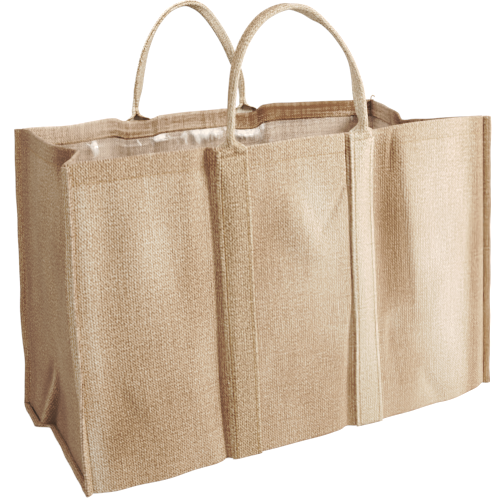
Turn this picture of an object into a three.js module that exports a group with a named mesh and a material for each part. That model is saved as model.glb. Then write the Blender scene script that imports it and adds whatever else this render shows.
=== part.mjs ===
import * as THREE from 'three';

// Firewood bag: a wide open tote of jute hessian that stands on its base, with a clear film inside
// and two straps that run up the walls and on over the rim as carrying handles.
// Millimetres. X runs right along the front, Y to the back and Z up. The origin is the middle of
// the base, on the floor.

// Driving sizes
const rimHeight = 395;
const clothThickness = 2;
const hemDepth = 24;
const hemStandOut = 2.3; // how far the turned-in hem stands out from the inside face
const cornerSeamReach = 10.5;
const baseSeamReach = 9;
const footHeight = 6; // where a wall starts to turn under into the base
const footInset = 4.5;
const pieceGap = 0.3;
const filmThickness = 1;
const filmClearance = 1.8;
const filmTop = rimHeight - hemDepth - 5;
const filmFoot = 12;
const strapWidth = 37;
const strapThickness = 2.4;
const handleHalfThickness = 3.4;

// Levels at which the walls are sampled, from the rim down
const hemLevels = [rimHeight, rimHeight - hemDepth / 2, rimHeight - hemDepth];
const wallLevels = [...hemLevels, 369, 345, 315, 280, 240, 200, 160, 125, 95, 65, 35, footHeight];
const filmLevels = [filmTop, 340, 300, 240, 170, 95, 40, filmFoot];

// Shares of a side wall's width at which it is sampled, from its front seam to its back seam
const sideShares = [0, 0.06, 0.14, 0.22, 0.287, 0.36, 0.49, 0.52, 0.62, 0.72, 0.82, 0.92, 1];
const filmSideShares = [0.08, 0.2, 0.287, 0.36, 0.5, 0.66, 0.8, 0.93];

// Corner seams, where a side wall meets the front or the back. Each row is a height, the place in
// plan where the two walls part, and the heading in plan of the pinched seam, in degrees from +X.
// rise is how far the rim's corner stands above or below the rim's height. turn is the way from the
// heading to the front or back wall's side of the seam.
const cornerSeams = {
  frontLeft: {
    turn: 1,
    rise: -2,
    rows: [
      { z: 0, x: -289.5, y: -142, heading: 222 },
      { z: 60, x: -290.5, y: -143, heading: 226 },
      { z: 110, x: -293, y: -144, heading: 255 },
      { z: 150, x: -296, y: -145, heading: 292 },
      { z: 210, x: -297, y: -145.5, heading: 308 },
      { z: 270, x: -295.5, y: -145, heading: 308 },
      { z: 320, x: -291, y: -144, heading: 300 },
      { z: rimHeight, x: -286.5, y: -141.5, heading: 288 },
    ],
  },
  frontRight: {
    turn: -1,
    rise: -1,
    rows: [
      { z: 0, x: 301, y: -129, heading: 315 },
      { z: 210, x: 287.5, y: -134.5, heading: 315 },
      { z: rimHeight, x: 274, y: -140.5, heading: 315 },
    ],
  },
  backLeft: {
    turn: -1,
    rise: 2,
    rows: [
      { z: 0, x: -304, y: 131, heading: 135 },
      { z: 59, x: -296, y: 133, heading: 135 },
      { z: 125, x: -294, y: 135, heading: 135 },
      { z: 203, x: -287, y: 137, heading: 135 },
      { z: 311, x: -279, y: 140, heading: 135 },
      { z: rimHeight, x: -271.5, y: 142, heading: 135 },
    ],
  },
  backRight: {
    turn: 1,
    rise: -6,
    rows: [
      { z: 0, x: 300, y: 136, heading: 45 },
      { z: 200, x: 291, y: 137, heading: 45 },
      { z: rimHeight, x: 281, y: 137, heading: 45 },
    ],
  },
};

// Front and back walls. inward is the way to the inside along Y. strapEdges are the uprights along
// the edges of the straps. floorLine and rimLine are the inside face along the floor and the rim,
// and rise is the rim's height there against rimHeight. Each fold is a trough towards the inside,
// with its place, half width and depth by height. columns counts 1 from each strap edge to the next.
const front = {
  inward: 1,
  leftSeam: 'frontLeft',
  rightSeam: 'frontRight',
  strapEdges: [
    { floorX: -109.7, rimX: -110.8 },
    { floorX: -72.7, rimX: -73.8 },
    { floorX: 70.7, rimX: 66.1 },
    { floorX: 107.7, rimX: 103.1 },
  ],
  floorLine: [
    { x: -289.5, y: -142 },
    { x: -278, y: -146.5 },
    { x: -250, y: -150.5 },
    { x: -210, y: -153.5 },
    { x: -157, y: -152 },
    { x: -110, y: -150.5 },
    { x: -70, y: -152.5 },
    { x: 0, y: -153 },
    { x: 105, y: -152.5 },
    { x: 172, y: -153 },
    { x: 235, y: -150 },
    { x: 275, y: -142.5 },
    { x: 301, y: -129 },
  ],
  rimLine: [
    { x: -286.5, y: -141.5, rise: -2 },
    { x: -274, y: -143.5, rise: 1 },
    { x: -245, y: -145, rise: 0.5 },
    { x: -157, y: -146, rise: 1 },
    { x: -125, y: -147, rise: 0 },
    { x: -92, y: -146, rise: -2 },
    { x: -72, y: -145.5, rise: -3.5 },
    { x: 0, y: -146.5, rise: -1 },
    { x: 60, y: -145, rise: -2 },
    { x: 85, y: -145.5, rise: -2.5 },
    { x: 105, y: -144.5, rise: -2.5 },
    { x: 132, y: -145, rise: 0 },
    { x: 156, y: -146.5, rise: 1.5 },
    { x: 210, y: -147, rise: 1.5 },
    { x: 255, y: -145.5, rise: 0 },
    { x: 274, y: -140.5, rise: -1 },
  ],
  folds: [
    [
      { z: 0, x: -120, half: 10, depth: 1.5 },
      { z: 85, x: -120, half: 11, depth: 3.5 },
      { z: 215, x: -122, half: 11, depth: 4 },
      { z: 335, x: -119, half: 8, depth: 5.5 },
      { z: 370, x: -116, half: 5, depth: 10 },
      { z: rimHeight, x: -115.3, half: 4.5, depth: 9 },
    ],
    [
      { z: 0, x: 67.5, half: 3.5, depth: 1 },
      { z: 200, x: 65, half: 3.5, depth: 1.5 },
      { z: 340, x: 62, half: 4, depth: 2.5 },
      { z: 365, x: 61.5, half: 4.5, depth: 6 },
      { z: rimHeight, x: 61.5, half: 4.5, depth: 8 },
    ],
    [
      { z: 0, x: 134, half: 16, depth: 0 },
      { z: 60, x: 134, half: 16, depth: 0.5 },
      { z: 110, x: 133, half: 16, depth: 1.5 },
      { z: 167, x: 132, half: 18, depth: 4 },
      { z: 230, x: 130, half: 20, depth: 6 },
      { z: 300, x: 128, half: 19, depth: 7 },
      { z: 372, x: 127, half: 13, depth: 6.5 },
      { z: rimHeight, x: 126, half: 13, depth: 2 },
    ],
  ],
  columns: [
    0, 0.05, 0.14, 0.34, 0.6, 0.78, 0.84, 0.885, 0.935, 0.975, 1, 1.5, 2,
    2.08, 2.3, 2.6, 2.85, 2.935, 2.968, 3, 3.5, 4, 4.06, 4.14, 4.24, 4.4, 4.62, 4.82, 4.94, 5,
  ],
  filmColumns: [0.09, 0.34, 0.6, 0.84, 0.93, 0.975, 1.2, 1.6, 2.2, 2.6, 2.968, 3.5, 4.06, 4.2, 4.5, 4.75, 4.9],
};

const back = {
  inward: -1,
  leftSeam: 'backLeft',
  rightSeam: 'backRight',
  strapEdges: [
    { floorX: -116.5, rimX: -122.5 },
    { floorX: -79.5, rimX: -85.5 },
    { floorX: 63.5, rimX: 45.5 },
    { floorX: 100.5, rimX: 82.5 },
  ],
  floorLine: [
    { x: -304, y: 131 },
    { x: -290, y: 140 },
    { x: -250, y: 143 },
    { x: -150, y: 144 },
    { x: 0, y: 145 },
    { x: 150, y: 144 },
    { x: 250, y: 142 },
    { x: 288, y: 140 },
    { x: 300, y: 136 },
  ],
  rimLine: [
    { x: -271.5, y: 142, rise: 2 },
    { x: -252, y: 148, rise: 1 },
    { x: -207, y: 149, rise: -1 },
    { x: -165, y: 147, rise: 2 },
    { x: -140, y: 149, rise: 3 },
    { x: -128, y: 146, rise: -2 },
    { x: -104, y: 150, rise: -4 },
    { x: -84, y: 148.5, rise: -3 },
    { x: -74, y: 145, rise: 1 },
    { x: 15, y: 144, rise: 1.5 },
    { x: 36, y: 147, rise: 0 },
    { x: 48, y: 150, rise: -7 },
    { x: 64, y: 151, rise: -9 },
    { x: 80, y: 149.5, rise: -8 },
    { x: 92, y: 145, rise: 1.5 },
    { x: 150, y: 145.5, rise: 0 },
    { x: 250, y: 142, rise: -5 },
    { x: 281, y: 137, rise: -6 },
  ],
  folds: [],
  columns: [
    0, 0.06, 0.2, 0.45, 0.7, 0.88, 0.955, 1, 1.5, 2, 2.08, 2.4, 2.75, 2.93, 3, 3.5, 4,
    4.05, 4.3, 4.6, 4.85, 4.95, 5,
  ],
  filmColumns: [0.09, 0.4, 0.8, 1.02, 1.5, 2.08, 2.5, 2.93, 3.5, 4.05, 4.4, 4.7, 4.9],
};

// Side walls. inset is how far the inside face lies in from a straight line between the wall's two
// seams, by share of the width, along the floor and the rim. A wall's dent fades from the rim down.
const left = {
  inward: 1,
  frontSeam: 'frontLeft',
  backSeam: 'backLeft',
  floorLine: [
    { share: 0, inset: 0 },
    { share: 0.2, inset: 4 },
    { share: 0.45, inset: 9 },
    { share: 0.7, inset: 14 },
    { share: 0.9, inset: 9 },
    { share: 1, inset: 0 },
  ],
  rimLine: [
    { share: 0, inset: 0, rise: -2 },
    { share: 0.15, inset: 17, rise: -1 },
    { share: 0.287, inset: 34, rise: -1 },
    { share: 0.36, inset: 23, rise: 0 },
    { share: 0.49, inset: 14, rise: 1 },
    { share: 0.67, inset: 7.5, rise: 1 },
    { share: 0.88, inset: 8, rise: 2 },
    { share: 1, inset: 0, rise: 2 },
  ],
  // The corner of the base that bulges out behind a slanting tuck
  tuck: { top: 100, apex: 0.54, frontFoot: 0.72, backFoot: 0.86, depth: 10 },
};

const right = {
  inward: -1,
  frontSeam: 'frontRight',
  backSeam: 'backRight',
  floorLine: [
    { share: 0, inset: 0 },
    { share: 0.3, inset: 6 },
    { share: 0.65, inset: 5 },
    { share: 1, inset: 0 },
  ],
  rimLine: [
    { share: 0, inset: 0, rise: -1 },
    { share: 0.22, inset: 14.5, rise: -9 },
    { share: 0.33, inset: 23, rise: -13.5 },
    { share: 0.4, inset: 31, rise: -15 },
    { share: 0.49, inset: 38, rise: -18 },
    { share: 0.52, inset: 38.5, rise: -10 },
    { share: 0.72, inset: 21, rise: -7 },
    { share: 0.9, inset: 9, rise: -6 },
    { share: 1, inset: 0, rise: -6 },
  ],
  tuck: null,
};
const dentFade = 2.2; // power of the height by which a side wall's dent fades downwards
const riseStart = 300; // height from which the rim's unevenness works its way up the walls

// How a strap leaves its wall: height, half width and half thickness of its section, and how far
// the section is from flat, 0, to oval, 1
const shoulder = [
  { z: 389, halfWidth: 18.3, halfThickness: 1.7, round: 0.15 },
  { z: 393.5, halfWidth: 16.5, halfThickness: 2.4, round: 0.4 },
  { z: 397.5, halfWidth: 11.5, halfThickness: 3.6, round: 0.7 },
  { z: 401.5, halfWidth: 5.5, halfThickness: 4.8, round: 1 },
];

// Centre line of each handle from its left leg to its right, half its broad side there, and the
// turn in degrees of the broad side, from square to the wall towards the space under the handle
const frontHandle = [
  { x: -94, y: -149.6, z: 408, broad: 5, turn: -24 },
  { x: -92, y: -148.6, z: 418, broad: 5.8, turn: -20 },
  { x: -89.5, y: -146.5, z: 438, broad: 6.9, turn: -9 },
  { x: -85, y: -144, z: 461, broad: 6.9, turn: 5 },
  { x: -79.3, y: -141.5, z: 482.5, broad: 6.9, turn: 12 },
  { x: -68.4, y: -138.5, z: 505.6, broad: 6.9, turn: 19 },
  { x: -53.9, y: -136, z: 524, broad: 6.9, turn: 22 },
  { x: -35.3, y: -134, z: 538, broad: 6.9, turn: 20 },
  { x: -10, y: -133, z: 545.8, broad: 6.9, turn: 8 },
  { x: 12.4, y: -133.5, z: 542.6, broad: 6.9, turn: -22 },
  { x: 28, y: -134.7, z: 533.7, broad: 6.9, turn: -20 },
  { x: 40, y: -136, z: 524.7, broad: 6.6, turn: 8 },
  { x: 54.9, y: -138, z: 509, broad: 6.9, turn: 18 },
  { x: 70.5, y: -141, z: 484, broad: 6.9, turn: 20 },
  { x: 77.9, y: -144, z: 459.2, broad: 7.2, turn: -8 },
  { x: 80.4, y: -146, z: 438, broad: 7.4, turn: -50 },
  { x: 82.4, y: -147.5, z: 422, broad: 6.8, turn: -42 },
  { x: 85, y: -149, z: 408, broad: 5, turn: 10 },
];

const backHandle = [
  { x: -106.5, y: 153.2, z: 408, broad: 5, turn: 18 },
  { x: -104, y: 152.4, z: 420, broad: 5.6, turn: 35 },
  { x: -100.5, y: 151, z: 435, broad: 6.9, turn: 60 },
  { x: -95, y: 149.5, z: 460, broad: 6.9, turn: 58 },
  { x: -86, y: 147.8, z: 489.8, broad: 6.9, turn: 42 },
  { x: -70.4, y: 145.8, z: 519.7, broad: 6.9, turn: 20 },
  { x: -50.1, y: 144.3, z: 541.4, broad: 6.9, turn: 12 },
  { x: -25, y: 143.6, z: 550.4, broad: 6.9, turn: 14 },
  { x: -6.8, y: 143.9, z: 545.8, broad: 6.9, turn: 45 },
  { x: 6.8, y: 144.7, z: 535.8, broad: 7.1, turn: 66 },
  { x: 22, y: 146, z: 517, broad: 7.2, turn: 72 },
  { x: 36.5, y: 147.5, z: 493.5, broad: 7.1, turn: 66 },
  { x: 48.5, y: 149.2, z: 466, broad: 6.9, turn: 40 },
  { x: 57.5, y: 150.3, z: 443, broad: 6.9, turn: 18 },
  { x: 61, y: 151.5, z: 424.6, broad: 6.2, turn: 5 },
  { x: 62.3, y: 153.2, z: 408, broad: 5, turn: -20 },
];
const handleSteps = 34;

// The value of one column of a table at a place along another column, on a smooth curve through
// the table's rows
function curveThrough(rows, along, key) {
  const at = rows.map((row) => row[along]);
  const values = rows.map((row) => row[key]);
  const last = rows.length - 1;
  const slopes = values.map((value, i) => {
    const before = Math.max(i - 1, 0);
    const after = Math.min(i + 1, last);
    return (values[after] - values[before]) / (at[after] - at[before]);
  });
  return (place) => {
    const clamped = Math.min(Math.max(place, at[0]), at[last]);
    let i = 0;
    while (i < last - 1 && clamped > at[i + 1]) i += 1;
    const width = at[i + 1] - at[i];
    const t = (clamped - at[i]) / width;
    const ease = t * t * (3 - 2 * t);
    const value = values[i] + (values[i + 1] - values[i]) * ease;
    const leaving = slopes[i] * width * t * (1 - t) * (1 - t);
    const arriving = slopes[i + 1] * width * t * t * (t - 1);
    return value + leaving + arriving;
  };
}

function smoothStep(t) {
  const clamped = Math.min(Math.max(t, 0), 1);
  return clamped * clamped * (3 - 2 * clamped);
}

// Height of a point that was at level z before the rim's unevenness moved it
const raised = (z, rise) => z + rise * smoothStep((z - riseStart) / (rimHeight - riseStart));

// A corner seam at a height: its root, the way it points, and the front or back wall's side of it
function seamAt(name, z) {
  const seam = cornerSeams[name];
  const heading = THREE.MathUtils.degToRad(curveThrough(seam.rows, 'z', 'heading')(z));
  const x = curveThrough(seam.rows, 'z', 'x')(z);
  const y = curveThrough(seam.rows, 'z', 'y')(z);
  const pointing = new THREE.Vector3(Math.cos(heading), Math.sin(heading), 0);
  const wallSide = new THREE.Vector3(-pointing.y, pointing.x, 0).multiplyScalar(seam.turn);
  return { root: new THREE.Vector3(x, y, raised(z, seam.rise)), pointing, wallSide, reach: cornerSeamReach };
}

// Inside face of the front or back wall at a column, 0 to 5, and a level
function wallPoint(wall, column, z) {
  const leftRoot = (height) => seamAt(wall.leftSeam, height).root;
  const rightRoot = (height) => seamAt(wall.rightSeam, height).root;
  const share = z / rimHeight;
  const span = Math.min(Math.floor(column), 4);
  const along = column - span;
  const uprightX = (index, height) => {
    if (index === 0) return leftRoot(height).x;
    if (index === 5) return rightRoot(height).x;
    const edge = wall.strapEdges[index - 1];
    return THREE.MathUtils.lerp(edge.floorX, edge.rimX, height / rimHeight);
  };
  const placeX = (height) => THREE.MathUtils.lerp(uprightX(span, height), uprightX(span + 1, height), along);
  const x = placeX(z);
  const plainY = (floorX, rimX) => THREE.MathUtils.lerp(
    curveThrough(wall.floorLine, 'x', 'y')(floorX),
    curveThrough(wall.rimLine, 'x', 'y')(rimX),
    share,
  );
  let y = plainY(placeX(0), placeX(rimHeight));
  for (const root of [leftRoot, rightRoot]) {
    const nearness = Math.max(0, 1 - Math.abs(x - root(z).x) / 40);
    y += (root(z).y - plainY(root(0).x, root(rimHeight).x)) * nearness ** 1.5;
  }
  for (const fold of wall.folds) {
    const across = (x - curveThrough(fold, 'z', 'x')(z)) / curveThrough(fold, 'z', 'half')(z);
    const trough = Math.abs(across) < 1 ? (1 + Math.cos(Math.PI * across)) / 2 : 0;
    y += wall.inward * curveThrough(fold, 'z', 'depth')(z) * trough;
  }
  return new THREE.Vector3(x, y, raised(z, curveThrough(wall.rimLine, 'x', 'rise')(placeX(rimHeight))));
}

// Inside face of a side wall at a share of its width and a level
function sidePoint(side, share, z) {
  const frontRoot = seamAt(side.frontSeam, z).root;
  const backRoot = seamAt(side.backSeam, z).root;
  const height = z / rimHeight;
  let inset = curveThrough(side.rimLine, 'share', 'inset')(share) * height ** dentFade;
  inset += curveThrough(side.floorLine, 'share', 'inset')(share) * (1 - height);
  if (side.tuck && z < side.tuck.top) {
    const up = z / side.tuck.top;
    const frontCrease = THREE.MathUtils.lerp(side.tuck.frontFoot, side.tuck.apex, up);
    const backCrease = THREE.MathUtils.lerp(side.tuck.backFoot, side.tuck.apex + 0.02, up);
    const step = smoothStep((share - frontCrease) / (backCrease - frontCrease));
    inset -= side.tuck.depth * (1 - up) * step * Math.min(1, (1 - share) / 0.1);
  }
  const x = THREE.MathUtils.lerp(frontRoot.x, backRoot.x, share) + side.inward * inset;
  const y = THREE.MathUtils.lerp(frontRoot.y, backRoot.y, share);
  const rise = curveThrough(side.rimLine, 'share', 'rise')(share);
  return new THREE.Vector3(x, y, raised(z, rise));
}

// One sheet of cloth as the triangles of its inside face, which turn their fronts to the outside
class Sheet {
  constructor() {
    this.points = [];
    this.hems = [];
    this.triangles = [];
    this.places = new Map();
  }

  place(point, hem = 0) {
    const key = point.toArray().map((value) => value.toFixed(3)).join(' ');
    if (!this.places.has(key)) {
      this.places.set(key, this.points.length);
      this.points.push(point.clone());
      this.hems.push(0);
    }
    const index = this.places.get(key);
    this.hems[index] = Math.max(this.hems[index], hem);
    return index;
  }

  // Rows run down or round the cloth and columns from left to right, as seen from the outside
  grid(rows, hemAt = () => 0) {
    const indices = rows.map((row, r) => row.map((point, c) => this.place(point, hemAt(r, c))));
    for (let r = 0; r < rows.length - 1; r += 1) {
      for (let c = 0; c < rows[r].length - 1; c += 1) {
        const [a, b] = [indices[r][c], indices[r + 1][c]];
        const [d, e] = [indices[r][c + 1], indices[r + 1][c + 1]];
        const flat = rows[r][c].distanceTo(rows[r + 1][c + 1]) <= rows[r][c + 1].distanceTo(rows[r + 1][c]);
        if (flat) this.triangles.push([a, b, e], [a, e, d]);
        else this.triangles.push([a, b, d], [b, e, d]);
      }
    }
    return indices;
  }

  // A level piece inside an outline that runs anticlockwise as seen from above, facing down
  level(outline) {
    const indices = outline.map((point) => this.place(point));
    const plan = outline.map((point) => new THREE.Vector2(point.x, point.y));
    for (const [a, b, c] of THREE.ShapeUtils.triangulateShape(plan, [])) {
      this.triangles.push([indices[a], indices[c], indices[b]]);
    }
  }

  // For each point, the step that takes it one unit clear of every face that meets there
  clearSteps() {
    const faceNormals = this.points.map(() => []);
    for (const triangle of this.triangles) {
      const [a, b, c] = triangle.map((index) => this.points[index]);
      const normal = b.clone().sub(a).cross(c.clone().sub(a)).normalize();
      for (const index of triangle) faceNormals[index].push(normal);
    }
    return faceNormals.map((normals) => {
      const step = new THREE.Vector3();
      for (const normal of normals) step.add(normal);
      step.normalize();
      const softening = 0.02;
      const sums = new THREE.Matrix3().set(softening, 0, 0, 0, softening, 0, 0, 0, softening);
      const short = new THREE.Vector3();
      for (const n of normals) {
        const products = [n.x * n.x, n.x * n.y, n.x * n.z, n.y * n.x, n.y * n.y, n.y * n.z];
        products.push(n.z * n.x, n.z * n.y, n.z * n.z);
        products.forEach((product, k) => { sums.elements[k] += product; });
        short.addScaledVector(n, 1 - step.dot(n));
      }
      return step.add(short.applyMatrix3(sums.invert()));
    });
  }

  // The sheet given its thickness to the outside, and its hems to the inside
  solid(thickness) {
    const steps = this.clearSteps();
    this.outer = this.points.map((point, i) => point.clone().addScaledVector(steps[i], thickness));
    this.inner = this.points.map((point, i) => point.clone().addScaledVector(steps[i], -this.hems[i]));
    const count = this.points.length;
    const faces = [];
    const edges = new Set();
    for (const [a, b, c] of this.triangles) {
      faces.push([a, b, c], [count + a, count + c, count + b]);
      for (const [from, to] of [[a, b], [b, c], [c, a]]) edges.add(`${from} ${to}`);
    }
    for (const edge of edges) {
      const [from, to] = edge.split(' ').map(Number);
      if (!edges.has(`${to} ${from}`)) {
        faces.push([to, from, count + from], [to, count + from, count + to]);
      }
    }
    return closedGeometry([...this.outer, ...this.inner], faces);
  }
}

// A closed geometry from its points and triangles, turned so that its faces point outwards
function closedGeometry(points, faces) {
  let volume = 0;
  for (const [a, b, c] of faces) volume += points[a].dot(points[b].clone().cross(points[c]));
  const outward = volume > 0 ? faces : faces.map(([a, b, c]) => [a, c, b]);
  const geometry = new THREE.BufferGeometry();
  const places = points.flatMap((point) => point.toArray());
  geometry.setAttribute('position', new THREE.Float32BufferAttribute(places, 3));
  geometry.setIndex(outward.flat());
  geometry.computeVertexNormals();
  return geometry;
}

// The seams along one side: down the front corner, back along the base and up the back corner
function seamPath(side) {
  const down = wallLevels.map((z) => seamAt(side.frontSeam, z));
  const up = wallLevels.map((z) => seamAt(side.backSeam, z)).reverse();
  const sideways = new THREE.Vector3(-side.inward, 0, 0);
  const middle = clothThickness + pieceGap / 2;
  const base = sideShares.map((share) => {
    const root = sidePoint(side, share, 0);
    const nearEnd = share === 0 ? -1 : Number(share === 1);
    root.y = THREE.MathUtils.lerp(
      seamAt(side.frontSeam, 0).root.y + footInset,
      seamAt(side.backSeam, 0).root.y - footInset,
      share,
    );
    root.z = middle;
    const pointing = sideways.clone().add(new THREE.Vector3(0, 0.45 * nearEnd, 0)).normalize();
    return { root, pointing, wallSide: new THREE.Vector3(0, 0, -1), reach: baseSeamReach };
  });
  return [...down, ...base, ...up];
}

// The two edges of a seam's half, which lies half a gap to one side of the seam's middle
function seamHalf(path, way) {
  const roots = path.map((seam) => seam.root.clone().addScaledVector(seam.wallSide, (way * pieceGap) / 2));
  const tips = path.map((seam, i) => roots[i].clone().addScaledVector(seam.pointing, seam.reach));
  return { roots, tips };
}

// A grid of points with rows and columns exchanged
const exchanged = (rows) => rows[0].map((point, c) => rows.map((row) => row[c]));

function bodyCloth() {
  const sheet = new Sheet();
  const levels = wallLevels.length;
  const leftHalf = seamHalf(seamPath(left), 1);
  const rightHalf = seamHalf(seamPath(right), 1);
  const foot = (wall, leftEnd, rightEnd) => wall.columns.map((column) => {
    if (column === 0) return leftEnd;
    if (column === 5) return rightEnd;
    const point = wallPoint(wall, column, 0);
    return new THREE.Vector3(point.x, point.y + wall.inward * footInset, clothThickness);
  });
  const wallRows = (wall, leftRoots, rightRoots) => wallLevels.map((z, r) => wall.columns.map((column) => {
    if (column === 0) return leftRoots[r];
    if (column === 5) return rightRoots[r];
    return wallPoint(wall, column, z);
  }));
  const hemAt = (wall) => (r, c) => {
    const inHem = r < hemLevels.length && c > 0 && c < wall.columns.length - 1;
    return inHem ? hemStandOut : 0;
  };

  const frontFoot = foot(front, leftHalf.roots[levels], rightHalf.roots[levels]);
  const frontRows = wallRows(front, leftHalf.roots, rightHalf.roots);
  const frontIndices = sheet.grid([...frontRows, frontFoot], hemAt(front));

  const backEnd = leftHalf.roots.length - 1 - levels;
  const backFoot = foot(back, leftHalf.roots[backEnd], rightHalf.roots[backEnd]);
  const backRows = wallRows(back, leftHalf.roots.slice().reverse(), rightHalf.roots.slice().reverse());
  const mirrored = [...backRows, backFoot].map((row) => row.slice().reverse());
  const backIndices = sheet.grid(mirrored, hemAt(back)).map((row) => row.slice().reverse());

  sheet.level([
    ...frontFoot,
    ...rightHalf.roots.slice(levels + 1, backEnd),
    ...backFoot.slice().reverse(),
    ...leftHalf.roots.slice(levels + 1, backEnd).reverse(),
  ]);
  sheet.grid(exchanged([leftHalf.tips, leftHalf.roots]));
  sheet.grid(exchanged([rightHalf.roots, rightHalf.tips]));
  return { geometry: sheet.solid(clothThickness), sheet, frontIndices, backIndices };
}

function gusset(side) {
  const sheet = new Sheet();
  const levels = wallLevels.length;
  const half = seamHalf(seamPath(side), -1);
  const rows = wallLevels.map((z, r) => sideShares.map((share) => {
    if (share === 0) return half.roots[r];
    if (share === 1) return half.roots[half.roots.length - 1 - r];
    return sidePoint(side, share, z);
  }));
  rows.push(half.roots.slice(levels, levels + sideShares.length));
  const hemAt = (r, c) => (r < hemLevels.length && c > 0 && c < sideShares.length - 1 ? hemStandOut : 0);
  const towardsRight = (grid) => (side.inward > 0 ? grid.map((row) => row.slice().reverse()) : grid);
  sheet.grid(towardsRight(rows), hemAt);
  const seam = exchanged([half.tips, half.roots]);
  sheet.grid(towardsRight(seam));
  return sheet.solid(clothThickness);
}

// The film hangs inside the walls, clear of every fold near each of its points
function filmLining() {
  const around = (list, i) => {
    const before = list[Math.max(i - 1, 0)];
    const after = list[Math.min(i + 1, list.length - 1)];
    return [
      THREE.MathUtils.lerp(before, list[i], 0.5),
      THREE.MathUtils.lerp(before, list[i], 0.75),
      list[i],
      THREE.MathUtils.lerp(list[i], after, 0.25),
      THREE.MathUtils.lerp(list[i], after, 0.5),
    ];
  };
  const stand = filmClearance + filmThickness;
  const clearOf = (pointAt, list, i, level, axis, inward) => {
    const place = pointAt(list[i], filmLevels[level]);
    const near = around(list, i).flatMap((at) => around(filmLevels, level).map((z) => pointAt(at, z)[axis]));
    place[axis] = inward * (Math.max(...near.map((value) => value * inward)) + stand);
    return place;
  };
  const wallRing = (wall, level) => wall.filmColumns.map((column, i) => (
    clearOf((at, z) => wallPoint(wall, at, z), wall.filmColumns, i, level, 'y', wall.inward)
  ));
  const sideRing = (side, level) => filmSideShares.map((share, i) => (
    clearOf((at, z) => sidePoint(side, at, z), filmSideShares, i, level, 'x', side.inward)
  ));
  const ring = (level) => [
    ...wallRing(front, level),
    ...sideRing(right, level),
    ...wallRing(back, level).reverse(),
    ...sideRing(left, level).reverse(),
  ];
  const rings = filmLevels.map((z, level) => ring(level));
  const lowest = rings[rings.length - 1];
  const floorInset = 7;
  const bottom = lowest.map((point) => new THREE.Vector3(
    point.x - Math.sign(point.x) * floorInset * Math.min(1, Math.max(0, (Math.abs(point.x) - 250) / 20)),
    point.y - Math.sign(point.y) * floorInset * Math.min(1, Math.max(0, (Math.abs(point.y) - 100) / 20)),
    clothThickness + pieceGap + filmThickness,
  ));
  const sheet = new Sheet();
  sheet.grid([...rings, bottom].map((row) => [...row, row[0]]));
  sheet.level(bottom);
  return sheet.solid(filmThickness);
}

// Twelve points round a strap's section, as shares of its half width and half thickness: five along
// its back, one on an edge, five along its face and one on the other edge. round takes the section
// from a flat strip, 0, to an oval, 1.
function sectionShares(round) {
  const flat = [-1, -0.5, 0, 0.5, 1];
  const strip = [
    ...flat.map((p) => [p, -1]),
    [1, 0],
    ...flat.slice().reverse().map((p) => [p, 1]),
    [-1, 0],
  ];
  return strip.map(([p, q], k) => {
    const angle = THREE.MathUtils.degToRad(210 + 30 * k);
    return [
      THREE.MathUtils.lerp(p, Math.cos(angle), round),
      THREE.MathUtils.lerp(q, Math.sin(angle), round),
    ];
  });
}

// A closed tube through rings of twelve points, with flat ends
function loft(rings) {
  const points = rings.flat();
  const faces = [];
  const around = 12;
  for (let r = 0; r < rings.length - 1; r += 1) {
    for (let k = 0; k < around; k += 1) {
      const next = (k + 1) % around;
      const [a, b] = [r * around + k, r * around + next];
      faces.push([a, b, b + around], [a, b + around, a + around]);
    }
  }
  const ends = [[0, false], [(rings.length - 1) * around, true]];
  for (const [start, reversed] of ends) {
    const cap = [[11, 10, 0], [4, 6, 5]];
    for (let k = 0; k < 4; k += 1) cap.push([k, 10 - k, k + 1], [k + 1, 10 - k, 9 - k]);
    for (const [a, b, c] of cap) {
      faces.push(reversed ? [start + a, start + c, start + b] : [start + a, start + b, start + c]);
    }
  }
  return closedGeometry(points, faces);
}

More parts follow.
